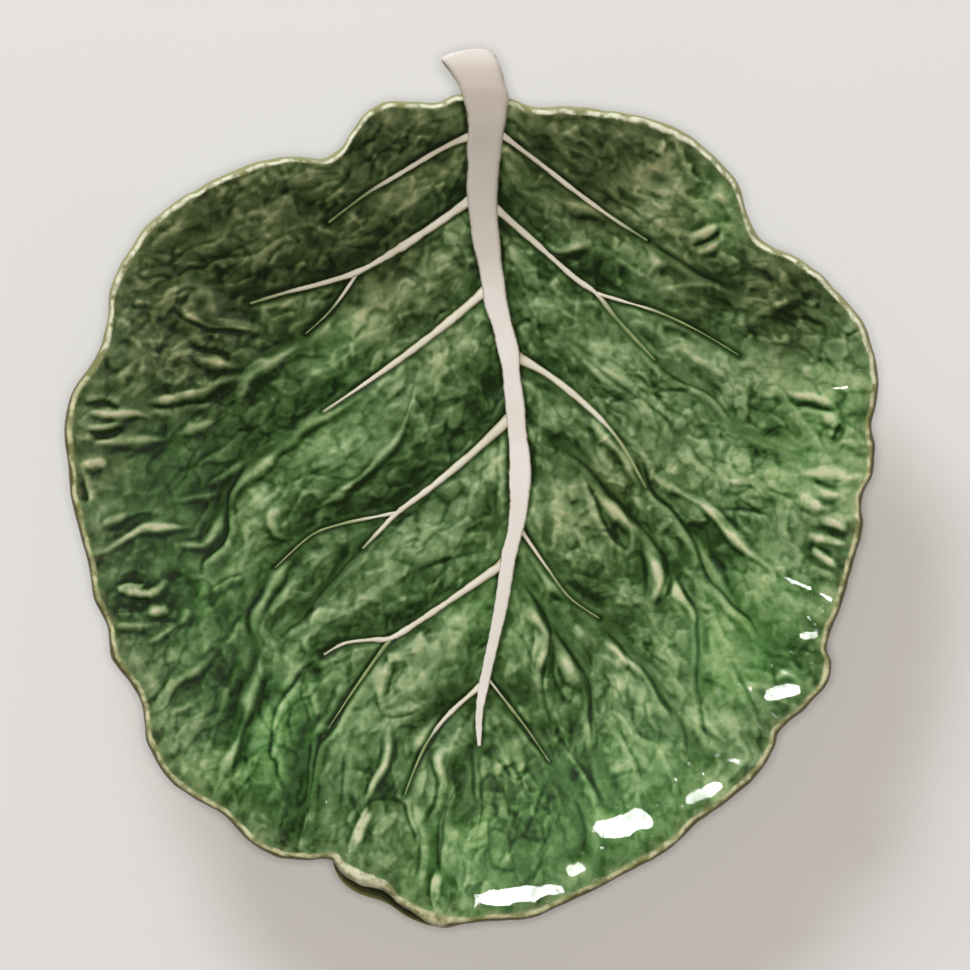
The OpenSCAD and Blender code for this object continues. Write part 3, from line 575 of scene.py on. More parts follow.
def add_lines(field, lines, height, width, wobble, vary):
    """Draws soft ridges, or creases where the height is below zero, into the field."""
    for strength, line in lines:
        at, distance, along, _ = near(line, 4.5 * width, wobble)
        local = width * (1 + 0.35 * vary[at])
        tall = strength * height * tapered(along) * (1 + 0.3 * vary[at])
        field[at] += tall * bell(distance / local)


def lit_side(line):
    """Which side of a line looks to the window."""
    step = line[-1] - line[0]
    return np.sign(-step[1] * WINDOW_WAY[0] + step[0] * WINDOW_WAY[1])


def add_ridges(clay, glaze, wobble, vary):
    """Raises the pale ridges, thin-glazed on top, each with painted shade along the side that is turned from
    the window.
    """
    for strength, line in laid_out(RIDGES_PX):
        at, distance, along, side = near(line, 4.5 * RIDGE_HALF, wobble)
        local = RIDGE_HALF * (1 + 0.35 * vary[at])
        local = local * (0.5 + 0.5 * tapered(along, 0.45))
        tall = strength * tapered(along, 0.4) * (1 + 0.4 * vary[at])
        shaded_side = -distance * side * lit_side(line)
        clay[at] += RIDGE_H * tall * bell(distance / local)
        glaze[at] -= 0.35 * tall * bell(distance / local)
        # Painted shade along the side turned from the window
        glaze[at] += 1.0 * tall * bell((shaded_side - 1.5 * local) / 0.7)


def ridge_nearness(wobble):
    """From 0 away from the pale ridges to 1 on them."""
    found = np.zeros(X.shape)
    for strength, line in laid_out(RIDGES_PX):
        at, distance, along, _ = near(line, 6, wobble)
        found[at] = np.maximum(found[at], min(strength, 1) * tapered(along) * bell(distance / 2.2))
    return found


def add_lobes(clay, glaze, wobble):
    """Raises lobes that are steep on the window's side and die out on the other, or sinks hollows. A lobe is
    pale with thin glaze, and paler towards the window's side as painted light.
    """
    patchy = np.clip(0.75 + 0.35 * noise(2), 0, 1.3)
    for half, strength, points in LOBES_PX:
        line = smooth_curve(place(points), 6)
        width = half * SCALE_X
        at, distance, along, side = near(line, 3 * width + 3, wobble)
        ends = ramp(along / 0.4 + 0.1) * ramp((1 - along) / 0.4 + 0.1) * strength
        ends = ends * (0.5 + 0.5 * ramp((half - 4) / 4))
        local = width * np.sqrt(np.clip(4 * along * (1 - along), 0.15, 1))
        if strength < 0:
            inside = ramp((local - distance) / 1.4 + 0.5)
            clay[at] += LOBE_H * ends * inside
            glaze[at] -= LOBE_TONE * ends * inside
            continue
        over = distance * side * lit_side(line)
        inside = ramp((local - over) / 1.1 + 0.5) * ramp((over + 1.5 * local) / (1.4 * local)) * patchy[at]
        clay[at] += LOBE_H * ends * inside
        # Thin glaze on the lobe, paler towards the window's side as painted light
        glaze[at] -= LOBE_TONE * ends * inside ** 2
        glaze[at] += LOBE_LINE * ends * bell((over - local - 0.8) / 0.7)


def laid_out(lines_px):
    """Traced lines in millimetres, each with its strength."""
    return [(strength, smooth_curve(place(points), 6)) for strength, points in lines_px]


def stalk_side(lines, far):
    """The same lines moved over towards the stalk."""
    moved = []
    for strength, line in lines:
        step = np.gradient(line, axis=0)
        side = np.stack([-step[:, 1], step[:, 0]], 1) / np.linalg.norm(step, axis=1)[:, None]
        stalk_x = np.interp(-line[:, 1], -STALK_LINE[:, 1], STALK_LINE[:, 0])
        towards = np.sign(np.sum(side[:, 0] * (stalk_x - line[:, 0])))
        moved.append((strength, line + side * towards * far))
    return moved


def even_rows(rows, pitch):
    """Rows at an even pitch along the first column."""
    at = np.arange(rows[0, 0], rows[-1, 0], pitch)
    return np.column_stack([at] + [np.interp(at, rows[:, 0], rows[:, k]) for k in range(1, rows.shape[1])])


STALK_ROWS = even_rows(smooth_curve(STALK_PX, 8), 1.5)
STALK_LINE = place(np.stack([(STALK_ROWS[:, 1] + STALK_ROWS[:, 2]) / 2, STALK_ROWS[:, 0]], 1))
STALK_HALF = (STALK_ROWS[:, 2] - STALK_ROWS[:, 1]) / 2 * STALK_W / STALK_W_PX
VEIN_LINES = {name: smooth_curve(place(points), 10) for name, *_, points in VEINS_PX}
PANEL_LINES = [STALK_LINE] + list(VEIN_LINES.values()) + [smooth_curve(place(p), 8) for p in PANEL_CREASES_PX]


def panel_directions(points):
    """Direction of the nearby panel lines at each point, as an angle."""
    middles = np.vstack([(line[1:] + line[:-1]) / 2 for line in PANEL_LINES])
    steps = np.vstack([line[1:] - line[:-1] for line in PANEL_LINES])
    twice = 2 * np.arctan2(steps[:, 1], steps[:, 0])
    weight = np.hypot(*steps.T) / (((points[:, None, :] - middles[None]) ** 2).sum(-1) + 9) ** 1.5
    return np.arctan2(weight @ np.sin(twice), weight @ np.cos(twice)) / 2


def direction_fields():
    """Cosine and sine of twice the direction of the nearby panel lines, over the grid."""
    step = 16
    cx, cy = X[::step, ::step], Y[::step, ::step]
    angle = panel_directions(np.stack([cx.ravel(), cy.ravel()], 1)).reshape(cx.shape)
    rows = np.clip(np.arange(X.shape[0]) / step, 0, cx.shape[0] - 1.001)
    columns = np.clip(np.arange(X.shape[1]) / step, 0, cx.shape[1] - 1.001)
    j, i = rows.astype(int)[:, None], columns.astype(int)[None, :]
    t, s = rows[:, None] - j, columns[None, :] - i
    return [blend(field, i, j, s, t) for field in (np.cos(2 * angle), np.sin(2 * angle))]


def streaks(size, length, directions):
    """Noise that is drawn out along the panel lines, with a spread of one."""
    source = noise(size)
    half = np.arctan2(directions[1], directions[0]) / 2
    dx, dy = np.cos(half), np.sin(half)
    total = source.copy()
    step = size
    for sign in (1, -1):
        px, py = X.copy(), Y.copy()
        ux, uy = sign * dx, sign * dy
        for k in range(int(length / step / 2)):
            px, py = px + ux * step, py + uy * step
            i = np.clip(((px - GRID_X[0]) / CELL).astype(int), 0, X.shape[1] - 1)
            j = np.clip(((py - GRID_Y[0]) / CELL).astype(int), 0, X.shape[0] - 1)
            total += source[j, i]
            nx, ny = dx[j, i], dy[j, i]
            same = np.sign(nx * ux + ny * uy + 1e-9)
            ux, uy = nx * same, ny * same
    total = total - blur(total, 4 * size)
    return total / total.std()


def blisters(pitch, long, short, warp):
    """Cells like the quilting of a savoy leaf: the gap to the next cell, and the height of tilted facets."""
    gx, gy = np.meshgrid(np.arange(-145, 146, pitch), np.arange(-156, 142, pitch))
    seeds = np.stack([gx.ravel(), gy.ravel()], 1) + RANDOM.uniform(-0.7, 0.7, (gx.size, 2)) * pitch
    angles = panel_directions(seeds) + RANDOM.normal(0, 0.25, len(seeds))
    sizes = RANDOM.uniform(0.6, 1.5, len(seeds))
    values = RANDOM.uniform(-0.5, 0.5, len(seeds))
    tilts = RANDOM.uniform(-0.4, 0.4, (len(seeds), 2))
    wx = X + warp * (noise(pitch * 0.6) + 0.4 * noise(pitch * 0.2))
    wy = Y + warp * (noise(pitch * 0.6) + 0.4 * noise(pitch * 0.2))
    first, second, value = np.full(X.shape, 9.0), np.full(X.shape, 9.0), np.zeros(X.shape)
    reach = 2.2 * long + 2 * warp
    for (sx, sy), angle, size, v, tilt in zip(seeds, angles, sizes, values, tilts):
        at = window((sx - reach, sy - reach), (sx + reach, sy + reach))
        px, py = wx[at] - sx, wy[at] - sy
        c, s = math.cos(angle), math.sin(angle)
        u, w = (px * c + py * s) / (long * size), (py * c - px * s) / (short * size)
        d = np.hypot(u, w)
        closer = d < first[at]
        second[at] = np.minimum(second[at], np.maximum(first[at], d))
        value[at] = np.where(closer, v + tilt[0] * u + tilt[1] * w, value[at])
        first[at] = np.minimum(first[at], d)
    return np.minimum(second - first, 2), value


def painted(spots):
    """A soft mask from round spots: pixel x and y, radius in pixels and strength."""
    mask = np.zeros(X.shape)
    for px, py, radius, strength in spots:
        cx, cy = place((px, py))
        mask += strength * np.exp(-((X - cx) ** 2 + (Y - cy) ** 2) / (radius * SCALE_X) ** 2)
    return np.clip(mask, 0, 1)


def signed_spots(spots):
    """A soft field from round spots, whose strengths may be below zero."""
    return painted([s for s in spots if s[3] > 0]) - painted([(*s[:3], -s[3]) for s in spots if s[3] < 0])


def bent_stroke(middle, angle, length, bend):
    """A short curved line through a point."""
    t = np.linspace(-0.5, 0.5, 7)
    turn = angle + bend * t
    return middle + np.stack([np.cos(turn), np.sin(turn)], 1) * (t * length)[:, None]


def add_strokes(field, mask, count, lengths, height, width, spread, directions):
    """Scatters short ridges and pits where the mask is strong, lying roughly along the given directions."""
    spots = RANDOM.uniform((-138, -150), (138, 138), (count, 2))
    chance = RANDOM.uniform(0, 1, count)
    spots = spots[chance < sample(mask, *spots.T)]
    angles = directions(spots) + RANDOM.normal(0, spread, len(spots))
    long = RANDOM.uniform(*lengths, len(spots))
    bends = RANDOM.normal(0, 1.0, len(spots))
    tall = height * RANDOM.uniform(0.4, 1.1, len(spots))
    tall = tall * np.where(RANDOM.uniform(0, 1, len(spots)) < 0.55, 1, -1)
    for middle, angle, length, bend, h in zip(spots, angles, long, bends, tall):
        at, distance, along, _ = near(bent_stroke(middle, angle, length, bend), 3 * width)
        field[at] += h * tapered(along, 0.4) * bell(distance / width)


def spoke_directions(points):
    """Direction away from the middle of the dish at each point, as an angle."""
    return polar(*points.T)[0]


def rim_noise(count, steps, source=RANDOM):
    """Smooth seeded noise round the rim, with a spread of one."""
    wide = np.tile(source.standard_normal(count), 3)
    made = np.convolve(wide, np.hanning(4 * steps + 1), "same")[count:2 * count]
    return made / made.std()


def rim_pleats(way):
    """Small folds across the rim, which die out down the wall."""
    count = 1600
    turn = np.linspace(-math.pi, math.pi, count)
    across = np.interp(polar(X, Y)[0], turn, rim_noise(count, 4, np.random.default_rng(11)))
    return across * ramp((way - 0.84) / 0.16)


def panel_distance():
    """Distance to the nearest line between panels, in millimetres."""
    panel = np.full(X.shape, 40.0)
    for line in PANEL_LINES:
        at, distance, *_ = near(line, 30)
        panel[at] = np.minimum(panel[at], distance)
    return panel


def crumpled_clay(panel, lively, crumpled):
    """Pillowed panels with cells, streaks and noise, and the two nets of lines between the cells."""
    directions = direction_fields()
    clay = PANEL_RISE * (1 - bell(np.maximum(panel - 1.5, 0) / PANEL_REACH))
    gap, value = blisters(pitch=9.5, long=9.5, short=3.3, warp=1.4)
    net = blur(bell(gap / 0.14), 0.3) * ramp((noise(7) + 0.5) / 1.4)
    clay += lively * (0.5 * blur(value, 0.5) - 0.22 * net)
    gap, value = blisters(pitch=4.4, long=3.6, short=2.0, warp=1.2)
    dimples = blur(bell(gap / 0.22), 0.25) * ramp((noise(6) + 0.4) / 1.2)
    clay += lively * (0.42 + 0.2 * crumpled) * (blur(value, 0.35) - 0.35 * dimples)
    raised = bell(streaks(2.4, 9, directions) / 0.5) * ramp((noise(5) + 0.2) / 1.3)
    sunk = bell(streaks(2.3, 11, directions) / 0.26) * ramp((noise(5) + 0.1) / 1.3)
    strength = 0.2 + 0.3 * crumpled
    clay += lively * (strength * blur(raised, 0.3) - strength * blur(sunk, 0.3))
    clay += lively * (0.26 * noise(4.5) + 0.12 * noise(2) + 0.05 * noise(0.9))
    return clay, net, dimples


def add_traced(clay, tone, wobble, vary):
    """Adds the ridges, creases, lobes and beds that are traced on the picture."""
    creases = laid_out(CREASES_PX)
    add_ridges(clay, tone, wobble, vary)
    add_lines(clay, creases, CREASE_H, CREASE_HALF, wobble, vary)
    add_lines(clay, stalk_side(creases, BANK_FAR), BANK_H, BANK_HALF, wobble, vary)
    add_lobes(clay, tone, wobble)
    for k, line in enumerate(PANEL_LINES[1:]):
        at, distance, *_ = near(line, 6)
        bed = VEIN_BED if k < len(VEIN_LINES) else PANEL_BED
        clay[at] -= bed * bell(distance / 1.3)


def paint_slope_shade(glaze, clay):
    """Painted shade and painted light: deepens the glaze colour on slopes that face away from the window and
    thins it on slopes that face it, on small forms and on whole panels.
    """
    for smooth, strength in ((0.45, LEE_SHADE), (2.5, PANEL_SHADE)):
        slope_y, slope_x = np.gradient(blur(clay, smooth), CELL)
        away = slope_x * WINDOW_WAY[0] + slope_y * WINDOW_WAY[1]
        glaze += np.clip(strength * away, -0.9, 0.9)


def add_outlines(glaze, vary):
    """Pools glaze along the side veins and along both edges of the stalk."""
    for name, share, *_ in VEINS_PX:
        at, distance, along, _ = near(VEIN_LINES[name], 8)
        half = share * VEIN_W * VEIN_FLARE * 0.5 * (1 - 0.6 * along)
        glaze[at] += (1.7 - 0.8 * along) * bell((distance - half - 0.5) / 0.7)
    for column in (1, 2):
        edge = place(np.stack([STALK_ROWS[:, column], STALK_ROWS[:, 0]], 1))
        at, distance, along, _ = near(edge[::6], 8)
        pool = (2.0 - 1.3 * along) * (1 + 0.3 * vary[at])
        glaze[at] += pool * bell((distance - 0.3) / 0.8)


def glaze_depth_and_shade(clay, tone, panel, way, lively, net, dimples, vary):
    """Depth of glaze over the clay: it is thin on what is raised and pools in what is sunk; painted shade and
    painted light are added to it.
    """
    glaze = (blur(clay, 3) - clay) / 0.46 + 0.9 * (blur(clay, 0.9) - clay) / 0.24
    # Painted shade and light by the way each slope faces the window
    paint_slope_shade(glaze, clay)
    cloudy = (0.4 * noise(6) + 0.35 * noise(9)) * lively
    # The spots add painted shade and painted light as well as glaze depth
    glaze += cloudy + 1.3 * signed_spots(POOL_AND_SHADE_SPOTS_PX) + 0.6 * bell(panel / 3)
    netted = painted(NETTED_PX)
    glaze -= 0.18 * netted
    glaze += ((0.7 + 0.6 * netted) * net + 0.8 * netted * dimples) * ramp((panel - 0.6) / 3) + tone
    glaze += RIM_TONE * noise(2.2) * ramp((way - 0.8) / 0.12)
    add_outlines(glaze, vary)
    return np.where(glaze < THIN_FROM, THIN_FROM + THIN_SHARE * (glaze - THIN_FROM), glaze)


def relief_fields():
    """The glazed surface, and the depth of glaze over the clay, below zero where it is thin, with painted
    shade and painted light added to that depth.
    """
    way = way_up(X, Y)
    panel = panel_distance()
    wobble = X + 0.4 * noise(3), Y + 0.4 * noise(3)
    calm, crumpled = painted(CALM_PX), painted(CRUMPLED_PX)
    lively = (1 - 0.25 * calm) * ramp((panel - 0.6) / 3) * (1 - 0.65 * ridge_nearness(wobble))
    clay, net, dimples = crumpled_clay(panel, lively, crumpled)
    add_strokes(clay, 0.3 * crumpled, count=1500, lengths=(4, 9), height=0.45, width=0.8, spread=0.75,
                directions=panel_directions)
    pleated = painted(PLEATED_PX) * ramp((way - 0.45) / 0.3)
    add_strokes(clay, pleated, count=1100, lengths=(7, 18), height=0.5, width=1.1, spread=0.3,
                directions=spoke_directions)
    vary = np.clip(noise(3.5), -1.5, 1.5)
    # Tones of the traced forms, with painted shade beside the ridges and painted light on the lobes
    tone = np.zeros(X.shape)
    add_traced(clay, tone, wobble, vary)
    clay *= 1 - 0.25 * ramp((way - 0.92) / 0.08)
    clay += PLEAT_H * rim_pleats(way)
    glaze = glaze_depth_and_shade(clay, tone, panel, way, lively, net, dimples, vary)
    surface = blur(clay, 0.35)
    surface += calm * (0.45 * blur(clay, 2.6) - surface)
    return surface, glaze


def tangent_plane(x, y):
    """Height and two slopes of the plain dish at a point."""
    step = 1.0
    slope_x = (dish_height(x + step, y) - dish_height(x - step, y)) / (2 * step)
    slope_y = (dish_height(x, y + step) - dish_height(x, y - step)) / (2 * step)
    return dish_height(x, y), slope_x, slope_y


def flatten_facets(relief):
    """Evens the relief to a plane at each facet, so that it mirrors one lamp."""
    level, ragged = blur(relief, 2), noise(1.5)
    for px, py, long, short, turn in FACETS_PX:
        cx, cy = place((px, py))
        reach = 2 * long * SCALE_X
        at = window((cx - reach, cy - reach), (cx + reach, cy + reach))
        dx, dy = X[at] - cx, Y[at] - cy
        c, s = math.cos(math.radians(turn)), math.sin(math.radians(turn))
        u, v = (dx * c + dy * s) / (long * SCALE_X), (dy * c - dx * s) / (short * SCALE_X)
        weight = 1 - ramp((np.cbrt(np.abs(u) ** 3 + np.abs(v) ** 3) - 0.85 + 0.1 * ragged[at]) / 0.5)
        height, slope_x, slope_y = tangent_plane(cx, cy)
        plane = height + slope_x * dx + slope_y * dy + sample(level, cx, cy) - dish_height(X[at], Y[at])
        relief[at] += weight * (plane - relief[at])


RELIEF, GLAZE_AND_SHADE = relief_fields()
flatten_facets(RELIEF)
UPPER = dish_height(X, Y) + RELIEF
OLIVE_AND_SHADE, VIVID = painted(OLIVE_AND_SHADE_PX), painted(VIVID_PX)


# Meshes
def new_mesh(name, points, quads, attributes, material, loop_uv=None):
    """A smooth mesh piece from points in millimetres, with float attributes on its points."""
    mesh = bpy.data.meshes.new(name)
    quads = np.asarray(quads, np.int32)
    mesh.vertices.add(len(points))
    mesh.vertices.foreach_set("co", (np.asarray(points) * MM).astype(np.float32).ravel())
    mesh.loops.add(quads.size)
    mesh.loops.foreach_set("vertex_index", quads.ravel())
    mesh.polygons.add(len(quads))
    mesh.polygons.foreach_set("loop_start", np.arange(0, quads.size, 4, dtype=np.int32))
    mesh.polygons.foreach_set("use_smooth", np.ones(len(quads), bool))
    for key, values in attributes.items():
        made = mesh.attributes.new(key, "FLOAT", "POINT")
        made.data.foreach_set("value", np.asarray(values, np.float32))
    mesh.update(calc_edges=True)
    mesh.validate()
    if loop_uv is not None:
        layer = mesh.uv_layers.new(name="OFBake")
        layer.uv.foreach_set("vector", np.asarray(loop_uv, np.float32).ravel())
    mesh.materials.append(material)
    piece = bpy.data.objects.new(name, mesh)
    bpy.context.scene.collection.objects.link(piece)
    return piece


def band_quads(rings):
    """Quads between closed rings of points, each ring an array of indices."""
    pairs = zip(rings[:-1], rings[1:])
    return np.vstack([np.stack([a, b, np.roll(b, -1), np.roll(a, -1)], 1) for a, b in pairs])


def running_mean(values, steps, ends):
    """A running mean, with the ends held ("edge") or joined to each other ("wrap")."""
    wide = np.pad(values, steps, mode=ends)
    return np.convolve(wide, np.ones(2 * steps + 1) / (2 * steps + 1), "valid")


DISC = 480
LIP_PUCKER = 0.2
LIP_RINGS = 10
FOLD_DIP = 1.2
UNDER_WAYS = np.concatenate([1 - 0.005 * np.arange(1, 12), np.linspace(0.92, 0, 24)])
FLOOR_SHARES = (0.8, 0.55, 0.3, 0.12, 0)

# Texture layout of the blade: the upper face's square, then the left and right of the strip for the rest
UPPER_MAP = (0.01, 0.76)
BAND_MAP = (0.78, 0.99)


def band_map(columns, rings):
    """Texture places of the quads between rings, as a strip that is cut open at one spoke."""
    k, j = np.meshgrid(np.arange(rings), np.arange(columns), indexing="ij")
    corners = [(k, j), (k + 1, j), (k + 1, j + 1), (k, j + 1)]
    u = np.stack([BAND_MAP[0] + (BAND_MAP[1] - BAND_MAP[0]) * c[0] / rings for c in corners], -1)
    v = np.stack([0.01 + 0.98 * c[1] / columns for c in corners], -1)
    return np.stack([u, v], -1).reshape(-1, 2)


def disc_grid():
    """A square grid laid over a disc: the square's two sides, then the angle and share of the radius."""
    side = np.linspace(-1, 1, DISC)
    a, b = np.meshgrid(side, side)
    wide = np.abs(a) > np.abs(b)
    rho = np.where(wide, a, b)
    with np.errstate(divide="ignore", invalid="ignore"):
        phi = np.where(wide, math.pi / 4 * b / a, math.pi / 2 - math.pi / 4 * a / b)
    phi = np.nan_to_num(phi)
    ux, uy = rho * np.cos(phi), rho * np.sin(phi)
    return a, b, np.arctan2(uy, ux), np.hypot(ux, uy)


def cell_corners(grid):
    """A grid's values at the four corners of each of its cells."""
    low, high = slice(None, -1), slice(1, None)
    return np.stack([grid[c] for c in ((low, low), (low, high), (high, high), (high, low))], -1)


class Rim:
    """The edge of the upper face all round, from which the lip and the underside start."""

    def __init__(self, turn, lift):
        self.turn = turn
        self.lift = lift
        self.out = np.stack([np.cos(turn), np.sin(turn)], 1)
        self.start_r = spoke(LIP_START_R, turn)
        self.start_z = spoke(LIP_START_Z, turn)
        self.slope = spoke(SPOKE_SLOPE, turn)
        self.inset = spoke(SPOKE_INSET, turn)
        self.folded = ramp(self.inset / 2)

    def ring(self, r, z):
        """Points all round at the radii and heights."""
        return np.column_stack([DISH + self.out * r[:, None], z])

    def even(self, value):
        """The same value all round."""
        return np.full(len(self.turn), value)


def lip_rings(rim):
    """Rings over the rounded lip, each with its place on the lip, the fold's dark glaze and painted shade,
    and the fold's pale line.
    """
    pucker, wave = (rim_noise(len(rim.turn), steps) for steps in (5, 14))
    half = LIP / 2 * (1 + rim.folded * (0.35 + 0.25 * wave))
    mid_r = rim.start_r + half * np.sin(rim.slope)
    mid_z = rim.start_z - half * np.cos(rim.slope)
    rows = []
    for k in range(1, LIP_RINGS + 1):
        bend = rim.slope + math.pi / 2 - math.pi * k / LIP_RINGS
        grown = min(1, k / 3) * LIP_PUCKER
        r = mid_r + half * np.cos(bend) + grown * (0.5 * pucker + wave)
        z = mid_z + half * np.sin(bend) + rim.lift + grown * (pucker + wave)
        lip = k / LIP_RINGS * (1 - 0.4 * rim.folded) + 0.1 * rim.folded
        # Dark glaze on the folded lip, with painted shade under the fold
        shade = rim.folded * ramp((k / LIP_RINGS - 0.75) / 0.2)
        rows.append((rim.ring(r, z), lip, shade, rim.even(0.0)))
    return rows


def under_rings(rim):
    """Rings down the outside and over the floor, with the fold's ledge and dip, and the same three values."""
    soft_lift = running_mean(running_mean(rim.lift, 16, "wrap"), 16, "wrap")
    rows = []
    for way in UNDER_WAYS:
        tilt = np.arctan(np.tan(rim.slope) * max(way, 1e-6) ** (WALL_POWER - 1))
        thick = WALL + (LIP - WALL) * way
        moved = ramp((1 - way) / 0.03)
        ledge = 0.8 * LIP * rim.folded * moved * math.exp(-(max(0.965 - way, 0) / 0.05) ** 2)
        r = FLOOR_R + (rim.start_r + rim.inset * moved - FLOOR_R) * way + thick * np.sin(tilt) + ledge
        z = FLOOR_Z + (rim.start_z - FLOOR_Z) * way ** WALL_POWER - thick * np.cos(tilt)
        lifted = soft_lift + (rim.lift - soft_lift) * max(0, 1 - (1 - way) / 0.06)
        dip = FOLD_DIP * rim.folded * math.exp(-((way - 0.985) / 0.007) ** 2)
        # Dark glaze on the fold's wall, with painted shade under the fold
        shade = rim.folded * ramp((way - 0.93) / 0.02)
        # A pale line along the middle of the fold's wall
        fold_pale_line = rim.folded * math.exp(-((way - 0.972) / 0.006) ** 2)
        rows.append((rim.ring(r, z + lifted * way ** 3 - dip), rim.even(2 - way), shade, fold_pale_line))
    for share in FLOOR_SHARES:
        floor_ring = rim.ring(rim.even(FLOOR_R * share), rim.even(FOOT_H))
        rows.append((floor_ring, rim.even(2.0), rim.even(0.0), rim.even(0.0)))
    return rows


def blade_values(top, edge, points, lips, shades, fold_pale_lines):
    """What the glaze's colour needs to know at each point of the blade."""
    found = {}
    # The glaze field holds painted shade and painted light as well as the depth of glaze
    for key, field in (("glaze", GLAZE_AND_SHADE), ("olive_and_shade", OLIVE_AND_SHADE), ("vivid", VIVID)):
        values = sample(field, *top[:, :2].T)
        values = np.concatenate([values, np.tile(values[edge], LIP_RINGS)])
        found[key] = np.pad(values, (0, len(points) - len(values)))
    bare = np.linalg.norm(points[:, :2] - place(BARE_LIP_PX), axis=1) / BARE_LIP
    # Painted light: the lip is paler on the side towards the window; it is also pale where the folded lip is
    # bare of glaze
    found["painted_light_and_bare"] = np.maximum(ramp((points[:, 1] - 20) / 50), 0.7 * np.exp(-bare ** 2))
    found["folded"] = np.concatenate([np.zeros(len(top)), *shades])
    found["fold_pale_line"] = np.concatenate([np.zeros(len(top)), *fold_pale_lines])
    found["lip"] = np.concatenate([np.clip(way_up(*top[:, :2].T) - 1, -1, 0), *lips])
    return found


def leaf_blade(material):
    """The pressed leaf: an upper face on an even grid, a rounded lip and a smooth underside."""
    a, b, angle, share = disc_grid()
    radius = share * spoke(LIP_START_R, angle)
    x, y = DISH[0] + radius * np.cos(angle), DISH[1] + radius * np.sin(angle)
    top = np.stack([x, y, dish_height(x, y) + sample(RELIEF, x, y)], -1).reshape(-1, 3)
    index = np.arange(DISC * DISC).reshape(DISC, DISC)
    edge = np.concatenate([index[0, :-1], index[:-1, -1], index[-1, :0:-1], index[:0:-1, 0]])
    rim = Rim(angle.ravel()[edge], sample(RELIEF, *top[edge, :2].T))
    rings, lips, shades, fold_pale_lines = zip(*lip_rings(rim), *under_rings(rim))
    ids = [edge] + [len(top) + k * len(edge) + np.arange(len(edge)) for k in range(len(rings))]
    quads = np.vstack([cell_corners(index).reshape(-1, 4), band_quads(ids)])
    points = np.vstack([top, *rings])
    values = blade_values(top, edge, points, lips, shades, fold_pale_lines)
    upper_map = np.stack([cell_corners(a), cell_corners(b)], -1).reshape(-1, 2)
    upper_map = UPPER_MAP[0] + (upper_map + 1) / 2 * (UPPER_MAP[1] - UPPER_MAP[0])
    layout = np.vstack([upper_map, band_map(len(edge), len(rings))])
    return new_mesh("leaf_blade_glazed", points, quads, values, material, layout)


def swept(name, line, half, seat, height, attributes, material, across, squareness):
    """A rounded strip laid along a line: half widths, seat heights and heights at each point."""
    step = np.gradient(line, axis=0)
    step /= np.linalg.norm(step, axis=1)[:, None]
    side = np.stack([-step[:, 1], step[:, 0]], 1) if across is None else across
    place_on = np.cos(np.linspace(0, math.pi, 17))
    arch = (1 - np.abs(place_on) ** squareness) ** 0.5
    rows = []
    for p, n, w, z, h in zip(line, side, half, seat, height):
        xy = p + n * (w * place_on)[:, None]
        upper = np.column_stack([xy, z + h * arch])
        lower = np.column_stack([p + n * (w * np.array([-0.9, 0.9]))[:, None], [z - 0.7] * 2])
        rows.append(np.vstack([upper, lower]))
    n = len(rows[0])
    rows = [np.tile(rows[0].mean(0), (n, 1))] + rows + [np.tile(rows[-1].mean(0), (n, 1))]
    points = np.vstack(rows)
    ids = [k * n + np.arange(n) for k in range(len(rows))]
    quads = band_quads(ids)
    edge = np.tile(np.concatenate([np.abs(place_on), [1, 1]]), len(rows))
    along = np.repeat(np.linspace(0, 1, len(rows)), n)
    return new_mesh(name, points, quads, {"edge": edge, "along": along, **attributes(along)}, material)


def stalk_values(along):
    """The stalk never fades to green, and its tab takes a darker, pinker tint, which lessens down the slope
    and fades out further down.
    """
    pink_tint = ramp((along - 0.006) / 0.03) * (0.8 - 0.4 * ramp((along - 0.06) / 0.05))
    return {"fade": np.zeros(len(along)), "pink_tint": pink_tint * (1 - ramp((along - 0.24) / 0.2))}


def stalk(material):
    """The midrib, laid along the dish and over the lip as a tab."""
    x, y = STALK_LINE.T
    seat = np.where(way_up(x, y) < 1, dish_height(x, y), spoke(SPOKE_HEIGHT, polar(x, y)[0]))
    top = running_mean(seat + STALK_ROWS[:, 3] * STALK_H, 24, "edge")
    top = np.minimum(top, CAD_BOX[1].z / MM)
    wander = running_mean(RANDOM.normal(0, 1, len(x)), 6, "edge")
    return swept("stalk_glazed", STALK_LINE, STALK_HALF + 0.45 * wander, seat - 0.3, top - seat + 0.3,
                 stalk_values, material, np.tile([1.0, 0.0], (len(x), 1)), STALK_SQUARENESS)


def side_vein(name, share, cream, material):
    """A thin strip that tapers from its root and turns green at its share of the way along."""
    line = VEIN_LINES[name]
    root = line[0] + (line[0] - line[3]) / np.linalg.norm(line[0] - line[3]) * VEIN_ROOT
    line = line if name.endswith("fork") else np.vstack([root, line])
    along = np.linspace(0, 1, len(line))
    wander = running_mean(RANDOM.normal(0, 1, len(line)), 2, "edge")
    width = share * VEIN_W * VEIN_FLARE * (1 - 0.7 * along ** 1.5) * (1 + 0.6 * np.exp(-along / 0.05))
    width = width * (1 + 0.28 * wander)
    seat = running_mean(sample(blur(UPPER, 0.8), *line.T), 3, "edge")
    height = VEIN_H * 0.55 * np.sqrt(width / VEIN_W)

    def values(way):
        return {"fade": ramp((way - cream + 0.2) / 0.25), "pink_tint": np.zeros(len(way))}
    return swept(name + "_glazed", line, width / 2, seat, height, values, material, None, VEIN_SQUARENESS)


# Materials
def srgb(r, g, b):
    """A colour as it is seen, from 0 to 255, in linear light."""
    def linear(c):
        c /= 255
        return c / 12.92 if c <= 0.04045 else ((c + 0.055) / 1.055) ** 2.4
    return (linear(r), linear(g), linear(b), 1)


NOISE_LOW = 0.3
NOISE_HIGH = 0.7


